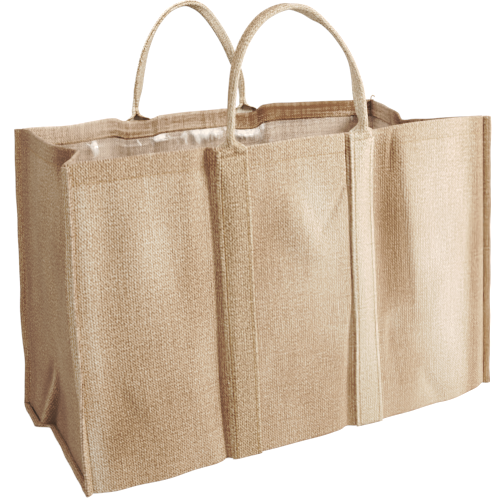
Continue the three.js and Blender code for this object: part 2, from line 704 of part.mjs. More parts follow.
// One strap: up the wall as a flat strip, over as a handle, and down the wall again
function strap(wall, body, indices, handle) {
  const outward = new THREE.Vector3(0, -wall.inward, 0);
  const columnAt = (column) => wall.columns.indexOf(column);
  const firstRow = 1;

  // Rings of the flat strip on the wall's outer face, from the strip's foot up
  const strip = (backColumns, across) => {
    const rings = [];
    const ringAt = (backs) => {
      const shares = sectionShares(0);
      return shares.map(([p, q]) => {
        const along = p + 1;
        const from = backs[Math.min(Math.floor(along), 1)];
        const to = backs[Math.min(Math.floor(along), 1) + 1];
        const place = from.clone().lerp(to, along - Math.min(Math.floor(along), 1));
        return place.addScaledVector(outward, pieceGap + 0.05 + ((q + 1) / 2) * strapThickness);
      });
    };
    for (let r = wallLevels.length - 1; r >= firstRow; r -= 1) {
      const backs = backColumns.map((column) => body.outer[indices[r][columnAt(column)]].clone());
      for (const [k, place] of backs.entries()) {
        place.x = backs[1].x + (k - 1) * across * (strapWidth / 2);
      }
      if (rings.length === 0) rings.push(ringAt(backs.map((place) => place.clone().setZ(1.5))));
      rings.push(ringAt(backs));
    }
    return rings;
  };
  const leftStrip = strip([1, 1.5, 2], 1);
  const rightStrip = strip([4, 3.5, 3], -1);

  // Rings where the strip is gathered above its stitching
  const gathered = (topRing, across) => shoulder.map(({ z, halfWidth, halfThickness, round }) => {
    const reach = Math.max(...topRing.slice(0, 5).map((place) => place.dot(outward)));
    const centre = outward.clone().multiplyScalar(reach + halfThickness);
    centre.x = topRing[2].x;
    centre.z = z;
    return sectionShares(round).map(([p, q]) => (
      centre.clone()
        .add(new THREE.Vector3(p * across * halfWidth, 0, 0))
        .addScaledVector(outward, q * halfThickness)
    ));
  });

  // Rings along the handle, square to its path
  const rows = handle.map((row, i) => ({ ...row, step: i / (handle.length - 1) }));
  const path = new THREE.CatmullRomCurve3(handle.map(({ x, y, z }) => new THREE.Vector3(x, y, z)));
  const bow = Array.from({ length: handleSteps + 1 }, (value, i) => {
    const step = i / handleSteps;
    const along = path.getTangent(step);
    const square = outward.clone().addScaledVector(along, -outward.dot(along)).normalize();
    const under = along.clone().cross(square).multiplyScalar(wall.inward);
    const turn = THREE.MathUtils.degToRad(curveThrough(rows, 'step', 'turn')(step));
    const broad = curveThrough(rows, 'step', 'broad')(step);
    const wide = square.clone().multiplyScalar(Math.cos(turn)).addScaledVector(under, Math.sin(turn));
    const thin = under.clone().multiplyScalar(Math.cos(turn)).addScaledVector(square, -Math.sin(turn));
    return sectionShares(1).map(([p, q]) => (
      path.getPoint(step).addScaledVector(thin, p * handleHalfThickness).addScaledVector(wide, q * broad)
    ));
  });

  const leftShoulder = gathered(leftStrip[leftStrip.length - 1], 1);
  const rightShoulder = gathered(rightStrip[rightStrip.length - 1], -1);
  return loft([
    ...leftStrip,
    ...leftShoulder,
    ...bow,
    ...rightShoulder.reverse(),
    ...rightStrip.reverse(),
  ]);
}

function mesh(name, geometry, material) {
  const result = new THREE.Mesh(geometry, material);
  result.name = name;
  return result;
}

const jute = new THREE.MeshStandardMaterial({ color: 0xc3a67e, roughness: 0.95, metalness: 0 });
const strapJute = new THREE.MeshStandardMaterial({ color: 0xccb18c, roughness: 0.95, metalness: 0 });
const clearFilm = new THREE.MeshStandardMaterial({
  color: 0xe9e4dc,
  roughness: 0.15,
  metalness: 0,
  transparent: true,
  opacity: 0.35,
});

const body = bodyCloth();
const bag = new THREE.Group();
bag.add(mesh('body_cloth', body.geometry, jute));
bag.add(mesh('gusset_left', gusset(left), jute));
bag.add(mesh('gusset_right', gusset(right), jute));
bag.add(mesh('strap_front', strap(front, body.sheet, body.frontIndices, frontHandle), strapJute));
bag.add(mesh('strap_back', strap(back, body.sheet, body.backIndices, backHandle), strapJute));
bag.add(mesh('film_lining', filmLining(), clearFilm));

export default bag;
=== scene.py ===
import math

import bpy
import numpy as np
from mathutils import Matrix, Vector


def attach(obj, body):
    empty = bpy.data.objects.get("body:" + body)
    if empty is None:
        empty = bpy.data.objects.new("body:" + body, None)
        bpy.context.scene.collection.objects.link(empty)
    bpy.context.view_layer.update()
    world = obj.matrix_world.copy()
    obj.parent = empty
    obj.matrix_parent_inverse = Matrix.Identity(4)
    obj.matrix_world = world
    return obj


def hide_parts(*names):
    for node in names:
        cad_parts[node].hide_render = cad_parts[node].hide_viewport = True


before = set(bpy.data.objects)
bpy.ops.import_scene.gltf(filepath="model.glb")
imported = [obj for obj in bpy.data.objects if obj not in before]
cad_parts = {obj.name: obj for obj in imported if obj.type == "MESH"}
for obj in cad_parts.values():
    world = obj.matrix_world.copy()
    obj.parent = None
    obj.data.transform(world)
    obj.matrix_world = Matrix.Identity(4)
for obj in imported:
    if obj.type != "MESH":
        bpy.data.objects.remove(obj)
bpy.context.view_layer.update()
print("frame loaded:", sorted(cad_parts))

# Jute firewood bag on a pale floor. All tables are in mm in the bag's own frame: x right along
# the front, y to the back, z up, origin in the middle of the base on the floor.
mm = 0.001

bag = {
    "rimHeight": 395.0,
    "clothThickness": 2.0,
    "hemDepth": 24.0,
    "hemStandOut": 2.3,     # how far the turned-in hem stands in from the wall
    "hemGroove": 0.45,      # depth of the groove along the hem's stitching, and its reach
    "grooveReach": 1.6,
    "cornerReach": 10.5,    # width of the pinched corner seams
    "baseReach": 9.0,       # width of the pinched seam along each end of the base
    "footHeight": 3.5,      # height at which a wall starts to turn under
    "footInset": 2.2,       # how far in it has turned at the base
    "footSteps": 4,         # rows of points on the way
    "pieceGap": 0.3,
    "seamPuff": [-0.3, 0.5, 0.6, 0.3, -0.2],    # thickness added to a pinched seam, root to tip
    "edgeBead": 0.8,        # how far a cut edge rounds out, as a share of half its thickness
    "riseStart": 300.0,     # the rim's unevenness works its way up from here
    "dentFade": 2.2,        # how fast a side wall's dent fades from the rim down
    "endWidth": 280.0,      # rough width of an end wall, for its ripples
}
rim = bag["rimHeight"]
hemLine = rim - bag["hemDepth"]
hemStitching = hemLine + 2.5
footSteps = bag["footSteps"]
seamThickness = bag["clothThickness"] + np.array(bag["seamPuff"])[None, :]

# Pinched corner seams: plan position of the root and heading of the ridge in degrees from +x.
# turn is the way from the heading to the long wall's half of the ridge.
seams = {
    "frontLeft": {
        "turn": 1, "rise": -2.0,
        "z": [0, 60, 110, 150, 210, 270, 320, 395],
        "x": [-289.5, -290.5, -293, -296, -297, -295.5, -291, -286.5],
        "y": [-142, -143, -144, -145, -145.5, -145, -144, -141.5],
        "heading": [222, 226, 255, 292, 308, 308, 300, 288],
    },
    "frontRight": {
        "turn": -1, "rise": -1.0,
        "z": [0, 210, 395],
        "x": [301, 287.5, 274],
        "y": [-129, -134.5, -140.5],
        "heading": [315, 315, 315],
    },
    "backLeft": {
        "turn": -1, "rise": 2.0,
        "z": [0, 59, 125, 203, 311, 395],
        "x": [-304, -296, -294, -287, -279, -271.5],
        "y": [131, 133, 135, 137, 140, 142],
        "heading": [135, 135, 135, 135, 135, 135],
    },
    "backRight": {
        "turn": 1, "rise": -6.0,
        "z": [0, 200, 395],
        "x": [300, 291, 281],
        "y": [136, 137, 137],
        "heading": [45, 45, 45],
    },
}

# Long walls. inward is the way to the inside along y. uprights are the edges of the straps.
frontWall = {
    "inward": 1, "left": "frontLeft", "right": "frontRight",
    "uprightFloor": [-109.7, -72.7, 70.7, 107.7],
    "uprightRim": [-110.8, -73.8, 66.1, 103.1],
    "floorLine": {
        "x": [-289.5, -278, -250, -210, -157, -110, -70, 0, 105, 172, 235, 275, 301],
        "y": [-142, -146.5, -150.5, -153.5, -152, -150.5, -152.5, -153, -152.5, -153, -150, -142.5, -129],
    },
    "rimLine": {
        "x": [-286.5, -274, -245, -157, -125, -92, -72, 0, 60, 85, 105, 132, 156, 210, 255, 274],
        "y": [-141.5, -143.5, -145, -146, -147, -146, -145.5, -146.5, -145, -145.5, -144.5, -145, -146.5,
              -147, -145.5, -140.5],
        "rise": [-2, 1, 0.5, 1, 0, -2, -3.5, -1, -2, -2.5, -2.5, 0, 1.5, 1.5, 0, -1],
    },
    # troughs towards the inside, and ridges where the depth is below 0: where they run, how far
    # they spread to the left and right, and how deep they are
    "folds": [
        {"z": [0, 60, 140, 215, 290, 350, 380, 395],
         "x": [-115, -118, -121, -123, -124, -125.5, -125, -124.5],
         "left": [22, 34, 38, 36, 30, 24, 20, 18], "right": [12, 16, 22, 30, 34, 30, 16, 12],
         "depth": [4, 8, 8.5, 8, 8, 8.5, 9.5, 9]},
        {"z": [0, 70, 140, 215, 300, 370, 395], "x": [-117, -116.5, -117, -117.5, -118, -118.5, -119],
         "left": [7, 7, 6, 6, 6, 6, 6], "right": [9, 9, 9, 9, 9, 8, 8], "depth": [3, 3, 2.5, 2, 2, 3, 4]},
        {"z": [0, 60, 130, 190, 300, 365, 395], "x": [60, 61, 62, 66, 63, 60.5, 61.5],
         "left": [16, 16, 10, 3.5, 3.5, 3.5, 4], "right": [11, 10, 8, 6, 5, 4, 3.5],
         "depth": [5, 6, 4.5, 1.7, 2, 4.5, 5.5]},
        {"z": [0, 60, 110, 167, 230, 300, 372, 395], "x": [118, 117, 115, 113, 111, 109, 108, 109],
         "left": [28, 32, 36, 38, 40, 38, 28, 12], "right": [34, 40, 48, 52, 48, 40, 32, 26],
         "depth": [0, 2, 5, 9, 12, 12.5, 10, 4]},
        {"z": [90, 130, 175, 245, 313, 378, 395], "x": [172, 170, 166, 158, 149, 142, 141],
         "left": [16, 14, 11, 10, 9, 9, 9], "right": [40, 46, 50, 50, 46, 36, 30],
         "depth": [0, -1.5, -3, -3.6, -3.4, -2, 0]},
        {"z": [60, 90, 115, 140, 165], "x": [130, 128, 128, 130, 132], "left": [10, 12, 12, 12, 10],
         "right": [24, 30, 30, 22, 16], "depth": [0, 2.2, 4, 2.4, 0]},
        {"z": [330, 350, 375, 395], "x": [128, 129, 129.5, 130], "left": [5, 6, 5, 5], "right": [5, 6, 6, 5],
         "depth": [0, 2.5, 3, 1]},
        {"z": [235, 255, 290, 323, 350], "x": [20, 11, -6, -23, -36], "left": [30, 44, 50, 46, 36],
         "right": [16, 26, 30, 30, 24], "depth": [0, -4.5, -6.5, -4.5, 0]},
        {"z": [245, 267, 296, 325, 345], "x": [10, 17, 37, 53, 62], "left": [10, 12, 12, 10, 8],
         "right": [6, 7, 8, 7, 5], "depth": [0, 2.6, 3.4, 2.6, 0]},
        {"z": [40, 75, 105, 130, 160], "x": [-214, -225, -239, -251, -262], "left": [20, 26, 26, 24, 20],
         "right": [14, 18, 18, 18, 14], "depth": [0, 1.5, 2, 1.5, 0]},
        {"z": [0, 150, 240, 330, 395], "x": [-196, -200, -214, -226, -230], "left": [60, 60, 46, 30, 20],
         "right": [50, 54, 50, 40, 30], "depth": [-1, -4, -5, -3, 0]},
        {"z": [0, 20, 45, 70], "x": [207, 198, 184, 172], "left": [14, 16, 16, 12], "right": [12, 16, 16, 12],
         "depth": [1, 2.4, 2.4, 0]},
        {"z": [0, 70, 210, 330, 395], "x": [270, 263, 256, 252, 250], "left": [40, 50, 60, 50, 40],
         "right": [20, 20, 20, 20, 20], "depth": [1, 4, 5, 5, 4]},
        {"z": [0, 100, 250, 395], "x": [-262, -268, -272, -266], "left": [14, 16, 16, 14],
         "right": [30, 34, 30, 24], "depth": [-1, -2, -2, -1]},
    ],
    "ripple": 0.9, "rippleSeed": 3,
}
backWall = {
    "inward": -1, "left": "backLeft", "right": "backRight",
    "uprightFloor": [-116.5, -79.5, 63.5, 100.5],
    "uprightRim": [-122.5, -85.5, 45.5, 82.5],
    "floorLine": {
        "x": [-304, -290, -250, -150, 0, 150, 250, 288, 300],
        "y": [131, 140, 143, 144, 145, 144, 142, 140, 136],
    },
    "rimLine": {
        "x": [-271.5, -252, -207, -165, -140, -128, -104, -84, -74, 15, 36, 48, 64, 80, 92, 150, 250, 281],
        "y": [142, 148, 149, 147, 149, 146, 150, 148.5, 145, 144, 147, 150, 151, 149.5, 145, 145.5, 142, 137],
        "rise": [2, 1, -1, 2, 3, -2, -4, -3, 1, 1.5, 0, -7, -9, -8, 1.5, 0, -5, -6],
    },
    "folds": [
        {"z": [0, 200, 395], "x": [-128, -134, -137], "left": [26, 30, 20], "right": [14, 18, 12],
         "depth": [3, 6, 3]},
        {"z": [0, 200, 395], "x": [110, 104, 96], "left": [14, 18, 12], "right": [26, 30, 20],
         "depth": [3, 6, 3]},
    ],
    "ripple": 0.9, "rippleSeed": 3,
}

# End walls. inset is how far they lie in from a line between their seams, by share of the width.
leftEnd = {
    "inward": 1, "front": "frontLeft", "back": "backLeft",
    "floorLine": {"share": [0, 0.2, 0.45, 0.7, 0.9, 1], "inset": [0, 4, 9, 13, 6, 0]},
    "rimLine": {
        "share": [0, 0.15, 0.287, 0.36, 0.49, 0.67, 0.88, 1],
        "inset": [0, 17, 34, 23, 14, 7.5, 8, 0],
        "rise": [-2, -1, -1, 0, 1, 1, 2, 2],
    },
    # the back corner of the base bulges out behind a slanting tuck with a sharp crest
    "tuck": {"top": 118, "apex": 0.52, "foot": 0.76, "drop": 0.06, "depth": 15},
    # upright troughs: one beside the front corner's seam, one below the rim's dent
    "folds": [
        {"z": [0, 150, 250, 350, 395], "share": [0.07, 0.09, 0.1, 0.11, 0.12],
         "left": [0.06, 0.08, 0.08, 0.08, 0.08], "right": [0.1, 0.14, 0.16, 0.16, 0.14],
         "depth": [1, 4, 5.5, 6, 3]},
        {"z": [0, 150, 300, 395], "share": [0.5, 0.46, 0.42, 0.4], "left": [0.2, 0.2, 0.2, 0.2],
         "right": [0.2, 0.24, 0.24, 0.2], "depth": [0, 3, 3, 0]},
    ],
    "ripple": 0.8, "rippleSeed": 5,
}
rightEnd = {
    "inward": -1, "front": "frontRight", "back": "backRight",
    "floorLine": {"share": [0, 0.3, 0.65, 1], "inset": [0, 6, 5, 0]},
    "rimLine": {
        "share": [0, 0.22, 0.33, 0.4, 0.49, 0.52, 0.72, 0.9, 1],
        "inset": [0, 14.5, 23, 31, 38, 38.5, 21, 9, 0],
        "rise": [-1, -9, -13.5, -15, -18, -10, -7, -6, -6],
    },
    "tuck": None,
    "folds": [
        {"z": [0, 150, 300, 395], "share": [0.5, 0.5, 0.5, 0.5], "left": [0.2, 0.24, 0.24, 0.2],
         "right": [0.2, 0.2, 0.2, 0.2], "depth": [0, 5, 9, 0]},
    ],
    "ripple": 0.8, "rippleSeed": 5,
}


# Levels and columns of the grids, closer together where the cloth turns or folds
def spread(stops, counts):
    # evenly spaced numbers between each stop and the next
    runs = [np.linspace(a, b, n, endpoint=False) for a, b, n in zip(stops[:-1], stops[1:], counts)]
    return np.concatenate([*runs, [stops[-1]]])


levelStops = [rim, hemLine + 2, hemLine - 3, 300, 100, bag["footHeight"]]
fineLevels = spread(levelStops, [10, 5, 26, 44, 26])
coarseLevels = spread(levelStops, [5, 4, 12, 18, 12])
wallColumns = spread([0, 0.02, 0.6, 0.86, 1, 2, 2.88, 3, 4, 4.4, 4.98, 5],
                     [3, 22, 16, 16, 6, 30, 14, 6, 26, 22, 3])
baseShares = spread([0, 0.08, 0.42, 0.86, 0.92, 1], [4, 12, 44, 3, 4])


def throughRows(table, key, at, by="z"):
    # cubic through the table's rows, whose slope at a row is that between its two neighbours
    knots, values = np.array(table[by], float), np.array(table[key], float)
    slopes = np.empty_like(values)
    slopes[1:-1] = (values[2:] - values[:-2]) / (knots[2:] - knots[:-2])
    slopes[0] = (values[1] - values[0]) / (knots[1] - knots[0])
    slopes[-1] = (values[-1] - values[-2]) / (knots[-1] - knots[-2])
    at = np.clip(np.asarray(at, float), knots[0], knots[-1])
    i = np.clip(np.searchsorted(knots, at, side="right") - 1, 0, len(knots) - 2)
    width = knots[i + 1] - knots[i]
    t = (at - knots[i]) / width
    ease = t * t * (3 - 2 * t)
    return (values[i] + (values[i + 1] - values[i]) * ease
            + slopes[i] * width * t * (1 - t) ** 2 + slopes[i + 1] * width * t * t * (t - 1))


def smoothStep(t):
    # 0 before 0, 1 after 1 and an even S between
    t = np.clip(t, 0, 1)
    return t * t * (3 - 2 * t)


def raised(z, rise):
    # a level's height once the rim's unevenness has moved it
    return z + rise * smoothStep((z - bag["riseStart"]) / (rim - bag["riseStart"]))


def unit(vectors):
    # vectors divided by their own lengths
    return vectors / np.maximum(np.linalg.norm(vectors, axis=-1, keepdims=True), 1e-9)


def runAlong(path):
    # length along a path at each of its points, from 0
    return np.concatenate([[0], np.cumsum(np.linalg.norm(np.diff(path, axis=0), axis=1))])


def quarterTurn(t):
    # shares of the way in x, y and z round an ellipse's quarter, from upright to level
    swing, drop = np.sin(t * np.pi / 2), 1 - np.cos(t * np.pi / 2)
    return np.concatenate([drop, drop, swing], -1)


def ripples(x, z, seed, wide=(60, 150), tall=(120, 400), waves=9):
    # a sum of slanting sine waves, about 1 high, each as wide and tall in mm as drawn from a range
    draw = np.random.default_rng(seed)
    total = np.zeros(np.broadcast(x, z).shape)
    for k in range(waves):
        acrossWave, upWave = draw.uniform(*wide), draw.uniform(*tall) * draw.choice([-1, 1])
        total += np.sin(2 * np.pi * (x / acrossWave + z / upWave) + draw.uniform(0, 2 * np.pi))
    return total / math.sqrt(waves)


def foldDepth(fold, key, at, z):
    # a fold's depth across it: a raised cosine with its own reach to either side
    off = at - throughRows(fold, key, z)
    reach = np.where(off < 0, throughRows(fold, "left", z), throughRows(fold, "right", z))
    inside = (z >= fold["z"][0]) & (z <= fold["z"][-1])
    bell = (1 + np.cos(np.pi * np.clip(off / reach, -1, 1))) / 2
    return np.where(inside, throughRows(fold, "depth", z) * bell, 0)


def wallPoints(wall, column, z):
    # inside face of a long wall. column runs 0 to 5 from seam to seam with whole numbers at the
    # strap edges; y goes evenly from the floor line to the rim line, meets the seams near the
    # ends and dips inwards by a raised cosine at each fold
    column, z = np.broadcast_arrays(np.asarray(column, float), np.asarray(z, float))
    left, right = seams[wall["left"]], seams[wall["right"]]

    def placeX(height):
        share = height / rim
        posts = [throughRows(left, "x", height)]
        for low, high in zip(wall["uprightFloor"], wall["uprightRim"]):
            posts.append(low + (high - low) * share)
        posts.append(throughRows(right, "x", height))
        posts = np.stack([post + 0 * column for post in posts])
        span = np.clip(column.astype(int), 0, 4)
        low = np.take_along_axis(posts, span[None], 0)[0]
        high = np.take_along_axis(posts, span[None] + 1, 0)[0]
        return low + (high - low) * (column - span)

    def plainY(floorX, rimX, share):
        low = throughRows(wall["floorLine"], "y", floorX, "x")
        high = throughRows(wall["rimLine"], "y", rimX, "x")
        return low + (high - low) * share

    x, floorX, rimX, share = placeX(z), placeX(0 * z), placeX(0 * z + rim), z / rim
    y = plainY(floorX, rimX, share)
    for end in (left, right):
        rootX, rootY = throughRows(end, "x", z), throughRows(end, "y", z)
        nearness = np.clip(1 - np.abs(x - rootX) / 40, 0, 1) ** 1.5
        y = y + (rootY - plainY(end["x"][0], end["x"][-1], share)) * nearness
    calm = smoothStep(np.minimum(column, 5 - column) / 0.12)
    relief = sum(foldDepth(fold, "x", x, z) for fold in wall["folds"])
    relief = relief + wall["ripple"] * ripples(x, z, wall["rippleSeed"])
    y = y + wall["inward"] * calm * relief
    return np.stack([x, y, raised(z, throughRows(wall["rimLine"], "rise", rimX, "x"))], -1)


def endPoints(end, share, z):
    # inside face of an end wall: a line between its seams, pushed in by the insets of the rim,
    # which fade as a power of the height, and of the floor, and stepped out behind the tuck
    share, z = np.broadcast_arrays(np.asarray(share, float), np.asarray(z, float))
    front, back = seams[end["front"]], seams[end["back"]]
    height = z / rim
    inset = throughRows(end["rimLine"], "inset", share, "share") * height ** bag["dentFade"]
    inset = inset + throughRows(end["floorLine"], "inset", share, "share") * (1 - height)
    if end["tuck"]:
        # out to the crest from the back corner, and back in sharply before it
        tuck = end["tuck"]
        up = np.clip(z / tuck["top"], 0, 1)
        crest = tuck["foot"] + (tuck["apex"] - tuck["foot"]) * up
        behind = np.clip((1 - share) / (1 - crest), 0, 1) ** 0.9
        before = smoothStep(1 + (share - crest) / tuck["drop"])
        inset = inset - tuck["depth"] * (1 - up) ** 0.8 * np.where(share > crest, behind, before)
    calm = smoothStep(np.minimum(share, 1 - share) / 0.06)
    inset = inset + calm * sum(foldDepth(fold, "share", share, z) for fold in end["folds"])
    uneven = ripples(share * bag["endWidth"], z, end["rippleSeed"], (70, 160), (90, 300))
    inset = inset + end["ripple"] * np.sin(np.pi * share) * uneven
    frontX, backX = throughRows(front, "x", z), throughRows(back, "x", z)
    frontY, backY = throughRows(front, "y", z), throughRows(back, "y", z)
    x = frontX + (backX - frontX) * share + end["inward"] * inset
    y = frontY + (backY - frontY) * share
    return np.stack([x, y, raised(z, throughRows(end["rimLine"], "rise", share, "share"))], -1)


def seamPath(end, frontLevels, backLevels):
    # the pinched seam round one end: down the front corner, round the foot, back along the base,
    # round the foot again and up the back corner. Returns the seam's roots, the directions that its
    # ridge points in, the way to the long wall's half of it, and the ridge's widths
    middle = bag["clothThickness"] + bag["pieceGap"] / 2
    sideways = np.array([-end["inward"], 0.0, 0.0])

    def corner(name, z):
        seam = seams[name]
        heading = np.radians(throughRows(seam, "heading", z))
        root = np.stack([throughRows(seam, "x", z), throughRows(seam, "y", z), raised(z, seam["rise"])], -1)
        pointing = np.stack([np.cos(heading), np.sin(heading), 0 * z], -1)
        wallSide = np.stack([-pointing[:, 1], pointing[:, 0], 0 * z], -1) * seam["turn"]
        return root, pointing, wallSide, np.full(len(z), bag["cornerReach"])

    front = corner(end["front"], frontLevels)
    back = corner(end["back"], backLevels)
    ends = endPoints(end, baseShares, 0 * baseShares)
    frontY = front[0][-1, 1] + bag["footInset"]
    backY = back[0][-1, 1] - bag["footInset"]
    baseRoot = np.stack([ends[:, 0], frontY + (backY - frontY) * baseShares, 0 * baseShares + middle], -1)
    # near its ends the base's ridge turns towards the corners
    turned = np.where(baseShares < 0.04, -0.45, np.where(baseShares > 0.96, 0.45, 0))
    basePointing = unit(sideways + turned[:, None] * np.array([0, 1.0, 0]))
    baseSide = np.tile([0, 0, -1.0], (len(baseShares), 1))
    base = (baseRoot, basePointing, baseSide, np.full(len(baseShares), bag["baseReach"]))

    def turnedUnder(above, below):
        # an ellipse's quarter from the wall's foot to the base, directions turning evenly
        t = np.linspace(0, 1, footSteps + 2)[1:-1, None]
        root = above[0] + (below[0] - above[0]) * quarterTurn(t)
        pointing = unit(above[1] * (1 - t) + below[1] * t)
        wallSide = unit(above[2] * (1 - t) + below[2] * t)
        return root, pointing, wallSide, (above[3] * (1 - t) + below[3] * t)[:, 0]

    down = turnedUnder([part[-1] for part in front], [part[0] for part in base])
    up = turnedUnder([part[-1] for part in back], [part[-1] for part in base])
    return [np.concatenate([a, b, c, d[::-1], e[::-1]])
            for a, b, c, d, e in zip(front, down, base, up, back)]


def seamHalf(path, way):
    # one half of a pinched seam as a strip of points from its root to its tip, half a gap off the
    # seam's middle, with a slightly wavy cut edge
    root, pointing, wallSide, reach = path
    run = runAlong(root)
    waver = 1 + 0.05 * np.sin(run / 11) * np.sin(run / 37 + 1)
    start = root + wallSide * way * bag["pieceGap"] / 2
    t = np.linspace(0, 1, seamThickness.size)[None, :, None]
    return start[:, None] + pointing[:, None] * (reach * waver)[:, None, None] * t


# A cloth piece starts as grids of its inside face. Rows run down and columns to the right, as
# seen from outside, so that faces point out.
def newCloth():
    lists = {key: [] for key in ("points", "faces", "uv", "hem", "thick", "tone", "innerTone")}
    return {**lists, "count": 0}


def addGrid(cloth, points, hem=0.0, thick=None, uvStart=(0, 0), flip=False, tone=0.0, innerTone=None):
    # uv is the cloth's own plane in metres: u the mean length along a row, v that down a column.
    # uvStart keeps the grids apart on it, so that no two have the same yarn. hem is how far the
    # inside stands in, tone how much lighter it is painted, mostly for painted light and shade, innerTone
    # that of the inside if it differs
    thick = bag["clothThickness"] if thick is None else thick
    innerTone = tone if innerTone is None else innerTone
    rows, cols = points.shape[:2]
    acrossStep = np.linalg.norm(np.diff(points, axis=1), axis=2).mean(0)
    downStep = np.linalg.norm(np.diff(points, axis=0), axis=2).mean(1)
    u = uvStart[0] + np.concatenate([[0], np.cumsum(acrossStep)])
    v = uvStart[1] - np.concatenate([[0], np.cumsum(downStep)])
    uv = np.stack(np.broadcast_arrays(u[None, :], v[:, None]), -1) * mm
    if flip:
        points, uv = points[:, ::-1], uv[:, ::-1]
        hem, thick, tone, innerTone = (values[:, ::-1] if np.ndim(values) else values
                                       for values in (hem, thick, tone, innerTone))
    index = np.arange(rows * cols).reshape(rows, cols) + cloth["count"]
    quads = np.stack([index[:-1, :-1], index[1:, :-1], index[1:, 1:], index[:-1, 1:]], -1)
    cloth["points"].append(points.reshape(-1, 3))
    cloth["uv"].append(uv.reshape(-1, 2))
    cloth["faces"].append(quads.reshape(-1, 4))
    for key, values in (("hem", hem), ("thick", thick), ("tone", tone), ("innerTone", innerTone)):
        cloth[key].append(np.broadcast_to(values, (rows, cols)).reshape(-1))
    cloth["count"] += rows * cols


def clearStep(points, faces):
    # for each point the step that clears every face round it by one unit: the mean of their
    # normals, made longer towards those that it would fall short of
    steady, longest = 0.03, 1.7     # keeps the answer calm where the faces lie flat, and bounds it
    count = len(points)
    across = points[faces[:, 2]] - points[faces[:, 0]]
    down = points[faces[:, 1]] - points[faces[:, 3]]
    normals = unit(np.cross(down, across))
    mean, products = np.zeros((count, 3)), np.zeros((count, 3, 3))
    for k in range(4):
        np.add.at(mean, faces[:, k], normals)
        np.add.at(products, faces[:, k], normals[:, :, None] * normals[:, None, :])
    mean = unit(mean)
    short = np.zeros((count, 3))
    for k in range(4):
        lack = 1 - (mean[faces[:, k]] * normals).sum(1)
        np.add.at(short, faces[:, k], normals * lack[:, None])
    step = mean + np.linalg.solve(products + steady * np.eye(3), short[..., None])[..., 0]
    return step * np.minimum(1, longest / np.linalg.norm(step, axis=1))[:, None]


def clothMesh(name, cloth):
    # welds the grids and lays the outer skin a thickness out and the inner skin a hem's depth in,
    # along the clear step. Open edges get a rounded bead between the skins.
    points, faces = np.concatenate(cloth["points"]), np.concatenate(cloth["faces"])
    cornerUv = np.concatenate(cloth["uv"])[faces]
    hem, thick = np.concatenate(cloth["hem"]), np.concatenate(cloth["thick"])
    _, first, weld = np.unique(np.round(points, 2), axis=0, return_index=True, return_inverse=True)
    weld = weld.reshape(-1)
    faces, points = weld[faces], points[first]
    count = len(points)
    welded = np.zeros(count)
    np.maximum.at(welded, weld, hem)
    skin = np.full(count, 1e9)
    np.minimum.at(skin, weld, thick)
    tone, innerTone = (np.concatenate(cloth[key])[first] for key in ("tone", "innerTone"))
    step = clearStep(points, faces)
    outer = points + step * skin[:, None]
    inner = points - step * welded[:, None]

    # open edges belong to one face only, and their beads round out away from that face
    edges = np.concatenate([faces[:, [k, (k + 1) % 4]] for k in range(4)])
    _, which, uses = np.unique(np.sort(edges, axis=1), axis=0, return_inverse=True, return_counts=True)
    isOpen = uses[which.reshape(-1)] == 1
    openEdges = edges[isOpen]
    owner = np.tile(np.arange(len(faces)), 4)[isOpen]
    centres = points[faces].mean(1)
    away = np.zeros((count, 3))
    for k in range(2):
        np.add.at(away, openEdges[:, k], points[openEdges].mean(1) - centres[owner])
    rimPoints = np.unique(openEdges)
    away = away[rimPoints]
    up = unit(step[rimPoints])
    away = unit(away - up * (away * up).sum(1, keepdims=True))
    half = (outer[rimPoints] - inner[rimPoints]) / 2
    middle = (outer[rimPoints] + inner[rimPoints]) / 2
    reach = bag["edgeBead"] * np.linalg.norm(half, axis=1, keepdims=True)
    beads = [middle + half * math.cos(a) + away * reach * math.sin(a)
             for a in (math.pi * 0.25, math.pi * 0.5, math.pi * 0.75)]
    slotOf = np.full(count, -1)
    slotOf[rimPoints] = np.arange(len(rimPoints))

    # quads of both skins, then of the edge from the outer skin over each bead to the inner one
    rings = [np.arange(count)]
    for k in range(len(beads)):
        rings.append(2 * count + k * len(rimPoints) + slotOf)
    rings.append(count + np.arange(count))
    quads = [faces, count + faces[:, ::-1]]
    uvs = [cornerUv, cornerUv[:, ::-1]]
    edgeUv = np.concatenate([cornerUv[:, [k, (k + 1) % 4]] for k in range(4)])[isOpen]
    for near, far in zip(rings[:-1], rings[1:]):
        quads.append(np.stack([near[openEdges[:, 1]], near[openEdges[:, 0]],
                               far[openEdges[:, 0]], far[openEdges[:, 1]]], -1))
        uvs.append(edgeUv[:, [1, 0, 0, 1]])
    vertices = np.concatenate([outer, inner, *beads])
    # the outside counts as 0, the inside as 1, and the edge takes most of the inside's colour
    sides = np.repeat([0, 1, 0.7], [len(faces), len(faces), (len(beads) + 1) * len(openEdges)])
    tones = np.concatenate([tone, innerTone, *[innerTone[rimPoints]] * len(beads)])
    return quadObject(name, vertices * mm, np.concatenate(quads), np.concatenate(uvs), sides, tones)


